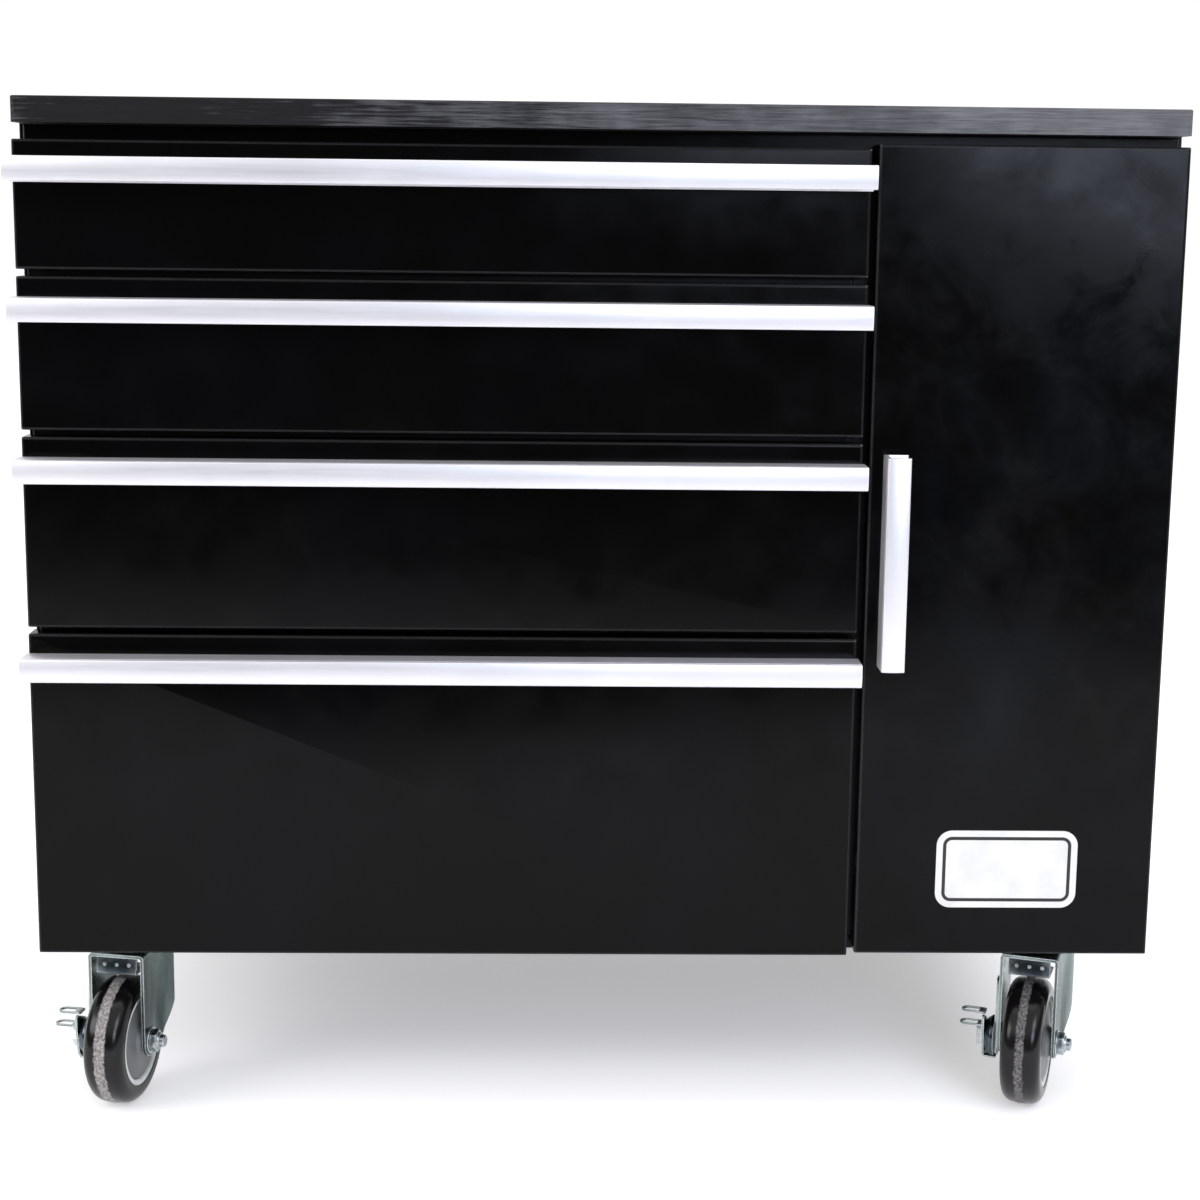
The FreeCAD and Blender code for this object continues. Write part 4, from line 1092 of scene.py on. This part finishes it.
    def build_axle(self, place: Matrix) -> None:
        """A bolt with a thin hex head on the left and a collared lock nut on the right."""
        outer = self.inside + self.steel
        start = -(outer + (12.5 if self.braked else 0.0) + 0.4)
        hexagon = [(9.2 * math.cos(math.radians(60 * n + 15)),
                    9.2 * math.sin(math.radians(60 * n + 15))) for n in range(6)]
        nut_piece = Shaper().prism(hexagon, outer + 1.2, outer + 6.6, Plane.YZ).piece(
            self.name("axle_nut"), FASTENER, place, bevel_mm=0.7)
        bolt = Shaper()
        bolt.prism([(8.9 * math.cos(math.radians(60 * n + 5)),
                     8.9 * math.sin(math.radians(60 * n + 5))) for n in range(6)],
                   start - 4.8, start - 0.9, Plane.YZ)
        bolt.lathe(rounded([(start - 5.0, 0.01), (start - 5.0, 7.2), (start - 4.6, 7.4),
                            (start - 0.9, 7.4), (start - 0.9, 9.2), (start, 9.2), (start, 5.0),
                            (outer, 5.0), (outer, 10.4), (outer + 1.2, 10.4),
                            (outer + 1.2, 5.0), (outer + 6.4, 5.0), (outer + 6.4, 7.0),
                            (outer + 8.0, 6.4), (outer + 8.0, 4.9), (outer + 11.2, 4.9),
                            (outer + 12.0, 4.1), (outer + 12.0, 0.01)],
                           [0, 0.4, 0, 0, 0.2, 0.2, 0, 0, 0.3, 0.3, 0, 0, 0.5, 0.5, 0, 0, 0, 0],
                           steps=3),
                   steps=48)
        piece = bolt.piece(self.name("axle_bolt") + "_turned", FASTENER, place)
        body = self.name("caster")
        stands_for(piece, body, "zinc_steel", self.name("axle_bolt"))
        stands_for(nut_piece, body, "zinc_steel")

    def build_shoe(self, place: Matrix) -> None:
        """The brake shoe under the crown: a leaning dimpled face and a folded foot."""
        low, top, front = self.crown_low - self.shoe_drop, self.crown_low, -self.lug + 0.8
        shape = rounded([(front + 2.4, top), (front, low + 1.0), (front + 0.6, low),
                         (front + 26.0, low), (front + 26.0, low + 2.0),
                         (front + 3.4, low + 2.0), (front + 4.6, top)],
                        [0, 1.2, 1.0, 0.4, 0.4, 0.8, 0], steps=4)
        shoe = Shaper().prism(shape, -16.5, 16.5, Plane.YZ)
        for across in (-10.0, 0.0, 10.0):
            shoe.lathe([(-1.0, 0.01), (-0.85, 0.5), (-0.4, 0.95), (0.6, 1.2), (0.6, 0.01)],
                       (across, front + 1.4, (low + top) / 2 + 0.6), axis=1, steps=20)
        piece = shoe.piece(self.name("brake_shoe") + "_pressing", SHOE_STEEL, place,
                           bevel_mm=0.5)
        stands_for(piece, self.name("caster"), "zinc_steel", self.name("brake_shoe"))

    def build_lever(self, place: Matrix) -> None:
        """The brake lever: a link on the leg, a cam, a cheek plate and two looped foot tabs."""
        inner = -(self.inside + self.steel + 0.4)
        link = rounded([(-8.0, -15.0), (8.0, -15.0), (6.0, 28.0), (6.0, 50.0), (-6.0, 50.0),
                        (-8.0, 28.0)], [5, 5, 12, 4, 4, 12], steps=6)
        parts = [Shaper().prism(link, inner - 2.5, inner, Plane.YZ).piece("link", ZINC)]
        boss = Shaper().lathe(rounded([(inner - 10.5, 5.3), (inner - 10.5, 11.5),
                                       (inner - 8.4, 14.4), (inner - 5.2, 16.4),
                                       (inner - 2.4, 16.4), (inner - 2.4, 5.3)],
                                      [0, 2, 3, 1.5, 0, 0], steps=5), steps=72)
        cam = boss.piece(self.name("brake_lever") + "_cam", SHOE_STEEL, place)
        stands_for(cam, self.name("brake"), "zinc_steel")
        cheek = rounded([(-9.0, -15.2), (8.0, -15.2), (8.0, 12.0), (-13.0, 21.0),
                         (-13.0, 8.0)], [5, 5, 8, 2.5, 4], steps=6)
        parts.append(Shaper().prism(cheek, inner - 12.1, inner - 10.3, Plane.YZ).piece(
            "cheek", ZINC))
        lip = rounded([(inner - 12.1, -17.2), (inner - 1.0, -17.2), (inner - 1.0, -15.6),
                       (inner - 10.2, -15.6), (inner - 10.2, -13.0), (inner - 12.1, -13.0)],
                      [1.4, 0.5, 0.5, 0.6, 0, 0], steps=3)
        parts.append(Shaper().prism(lip, -7.0, 6.0, Plane.XZ).piece("lip", ZINC))
        root = inner - 10.6
        for up, shift in ((18.6, 0.0), (10.4, -7.0)):
            outer = self.loop_outline(root, shift, 5.5, 19.8)
            eye = self.loop_outline(root - 5.5, shift, 3.9, 12.7)
            parts.append(Shaper().holed_prism(outer, eye, up, up + 1.6, Plane.XY).piece(
                "tab", ZINC))
        bore = Shaper().prism(circle(0, 0, 5.2), inner - 14, inner + 2, Plane.YZ)
        lever = united(self.name("brake_lever") + "_pressing", parts, ZINC,
                       [bore.piece("bore", ZINC)], bevel_mm=0.3)
        lever.matrix_world = place
        stands_for(lever, self.name("brake"), "zinc_steel", self.name("brake_lever"))

    @staticmethod
    def loop_outline(root: float, middle: float, half: float, reach: float) -> list[Point]:
        """A tab's outline: straight sides from its root and a round end.

        Args:
            root: the tab's root along the axle.
            middle: the tab's middle line.
            half: half its width.
            reach: how far it reaches out to the left.

        Returns:
            The closed outline, always with the same number of points.
        """
        return rounded([(root, middle - half), (root, middle + half),
                        (root - reach, middle + half), (root - reach, middle - half)],
                       [half * 0.3, half * 0.3, half * 0.98, half * 0.98], steps=8)


# ---------------------------------------------------------------------- carcass

@dataclass
class CarriedNodes:
    """CAD nodes whose own shape shows, dressed in their finishes."""

    finishes: dict[str, Finish]

    def dress(self) -> None:
        """Give each node's slots its finish."""
        for node, finish in self.finishes.items():
            item = frame["nodes"][node]
            for slot in item.material_slots:
                slot.material = finish.material()
            LOG.info("%s keeps its own shape", node)


def carried() -> CarriedNodes:
    """The nodes that keep their CAD shape and what each wears."""
    finishes: dict[str, Finish] = {
        node: COAT for node in ("side_panel_left", "side_panel_right", "back_panel",
                                "base_pan", "top_frame")}
    finishes.update({node: INNER_COAT for node in ("centre_divider", "drawer_rails", "shelf")})
    finishes.update({"worktop": LAMINATE, "worktop_screws": FASTENER, "shelf_clips": ZINC,
                     "slide_outers": SLIDE_STEEL, "caster_plates": ZINC,
                     "caster_bolts": FASTENER, "door_hinge_arms": ZINC,
                     "door_hinge_brackets": ZINC, "door_catch": BLACK_PLASTIC,
                     "catch_strike": ZINC})
    for number in range(1, 5):
        finishes[f"drawer_box_{number}"] = INNER_COAT
        finishes[f"slide_inner_{number}"] = SLIDE_STEEL
        finishes[f"slide_middle_{number}"] = SLIDE_STEEL
    return CarriedNodes(finishes)


# ----------------------------------------------------------------------- studio

@dataclass
class Studio:
    """Pale floor, soft lights and the camera."""

    lens_mm: float = 66.5
    camera_at: tuple[float, float, float] = (-0.0372, -1.9419, 0.7124)
    yaw_deg: float = -1.328
    pitch_deg: float = 10.230
    roll_deg: float = -0.655
    floor_front: float = -1.84
    front_level: float = 0.13
    room_level: float = 1.05
    floor_back: float = 9.0
    floor_half: float = 7.0

    def build(self) -> None:
        """Build the floor, lights, world and camera."""
        self.build_floor()
        self.build_world()
        self.build_lights()
        self.build_camera()

    def build_floor(self) -> None:
        """A matt floor from under the camera to far behind the chest."""
        half, front, back = self.floor_half / MM, self.floor_front / MM, self.floor_back / MM
        floor = Shaper().prism([(-half, front), (half, front), (half, back), (-half, back)],
                               -20.0, -0.05, Plane.XY).piece("studio_floor", FLOOR)

    def build_world(self) -> None:
        """A white room behind the chest that falls to dark behind the camera."""
        world = bpy.data.worlds.new("studio")
        bpy.context.scene.world = world
        world.use_nodes = True
        tree = world.node_tree
        tree.nodes.clear()
        place = add(tree, "TexCoord").outputs["Generated"]
        split = add(tree, "SeparateXYZ", {0: place})
        behind = add(tree, "MapRange", {0: split.outputs[1], 1: 0.2, 2: 0.7},
                     interpolation_type="SMOOTHSTEP")
        above = add(tree, "MapRange", {0: split.outputs[2], 1: 0.25, 2: 0.6},
                    interpolation_type="SMOOTHSTEP")
        share = add(tree, "Math", {0: behind.outputs[0], 1: above.outputs[0]},
                    operation="MAXIMUM")
        level = add(tree, "MapRange", {0: share.outputs[0], 3: self.front_level,
                                       4: self.room_level})
        sky = add(tree, "Background", {"Color": (1.0, 1.0, 1.0, 1.0),
                                       "Strength": level.outputs[0]})
        out = tree.nodes.new("ShaderNodeOutputWorld")
        tree.links.new(sky.outputs[0], out.inputs[0])

    def build_lights(self) -> None:
        """Soft boxes high in front, one each side, and one over the top."""
        boxes = (
            ("window", (1.10, -3.2, 1.32), (0.30, -0.3, 0.70), 1.3, 0.85, 30.0, "dfe9ff"),
            ("key", (1.5, -2.6, 2.3), (0.0, -0.2, 0.45), 1.6, 1.1, 30.0, "f4f7ff"),
            ("fill", (-2.3, -1.5, 1.5), (0.0, -0.2, 0.40), 1.5, 1.1, 26.0, "ffffff"),
            ("top", (0.0, 0.2, 3.0), (0.0, 0.0, 0.0), 3.0, 2.4, 25.0, "ffffff"),
        )
        for name, at, aim, width, height, power, colour in boxes:
            light = bpy.data.lights.new(name, "AREA")
            light.shape, light.size, light.size_y = "RECTANGLE", width, height
            light.energy = power
            light.color = linear(colour)[:3]
            item = bpy.data.objects.new(name, light)
            bpy.context.scene.collection.objects.link(item)
            item.location = at
            item.rotation_euler = (Vector(aim) - Vector(at)).to_track_quat("-Z", "Y").to_euler()

    def build_camera(self) -> None:
        """The camera, nearly level with the worktop and looking slightly down."""
        lens = bpy.data.cameras.new("camera")
        lens.lens, lens.sensor_width = self.lens_mm, 36.0
        lens.clip_end = 60.0
        item = bpy.data.objects.new("camera", lens)
        bpy.context.scene.collection.objects.link(item)
        turn = (Matrix.Rotation(math.radians(self.yaw_deg), 4, "Z")
                @ Matrix.Rotation(math.radians(-self.pitch_deg), 4, "X")
                @ Matrix.Rotation(math.radians(self.roll_deg), 4, "Y")
                @ Matrix.Rotation(math.radians(90.0), 4, "X"))
        item.matrix_world = Matrix.Translation(Vector(self.camera_at)) @ turn
        bpy.context.scene.camera = item
        bpy.context.scene.view_settings.view_transform = "Standard"


def main() -> None:
    """Build the chest's looks in order."""
    logging.basicConfig(level=logging.INFO, format="%(message)s")
    carried().dress()
    for number in range(1, 5):
        body = f"drawer_{number}"
        FoldedFront(f"drawer_front_{number}", body).build()
        ChannelPull(f"drawer_handle_{number}", body).build()
    hinge_low, hinge_high = (box_mm("door_hinge_arms")[0].z + 20.0,
                             box_mm("door_hinge_arms")[1].z - 20.0)
    FoldedFront("door_panel", "door", DOOR_COAT,
                slots=[(hinge_low - 9.0, hinge_low + 9.0),
                       (hinge_high - 9.0, hinge_high + 9.0)]).build()
    ChannelPull("door_handle", "door", upright=True).build()
    BlankLabel().build()
    for where in CasterPlace:
        Caster(where, braked=where.value.startswith("front")).build()
    Studio().build()
    bpy.context.view_layer.update()


if __name__ == "__main__":
    main()
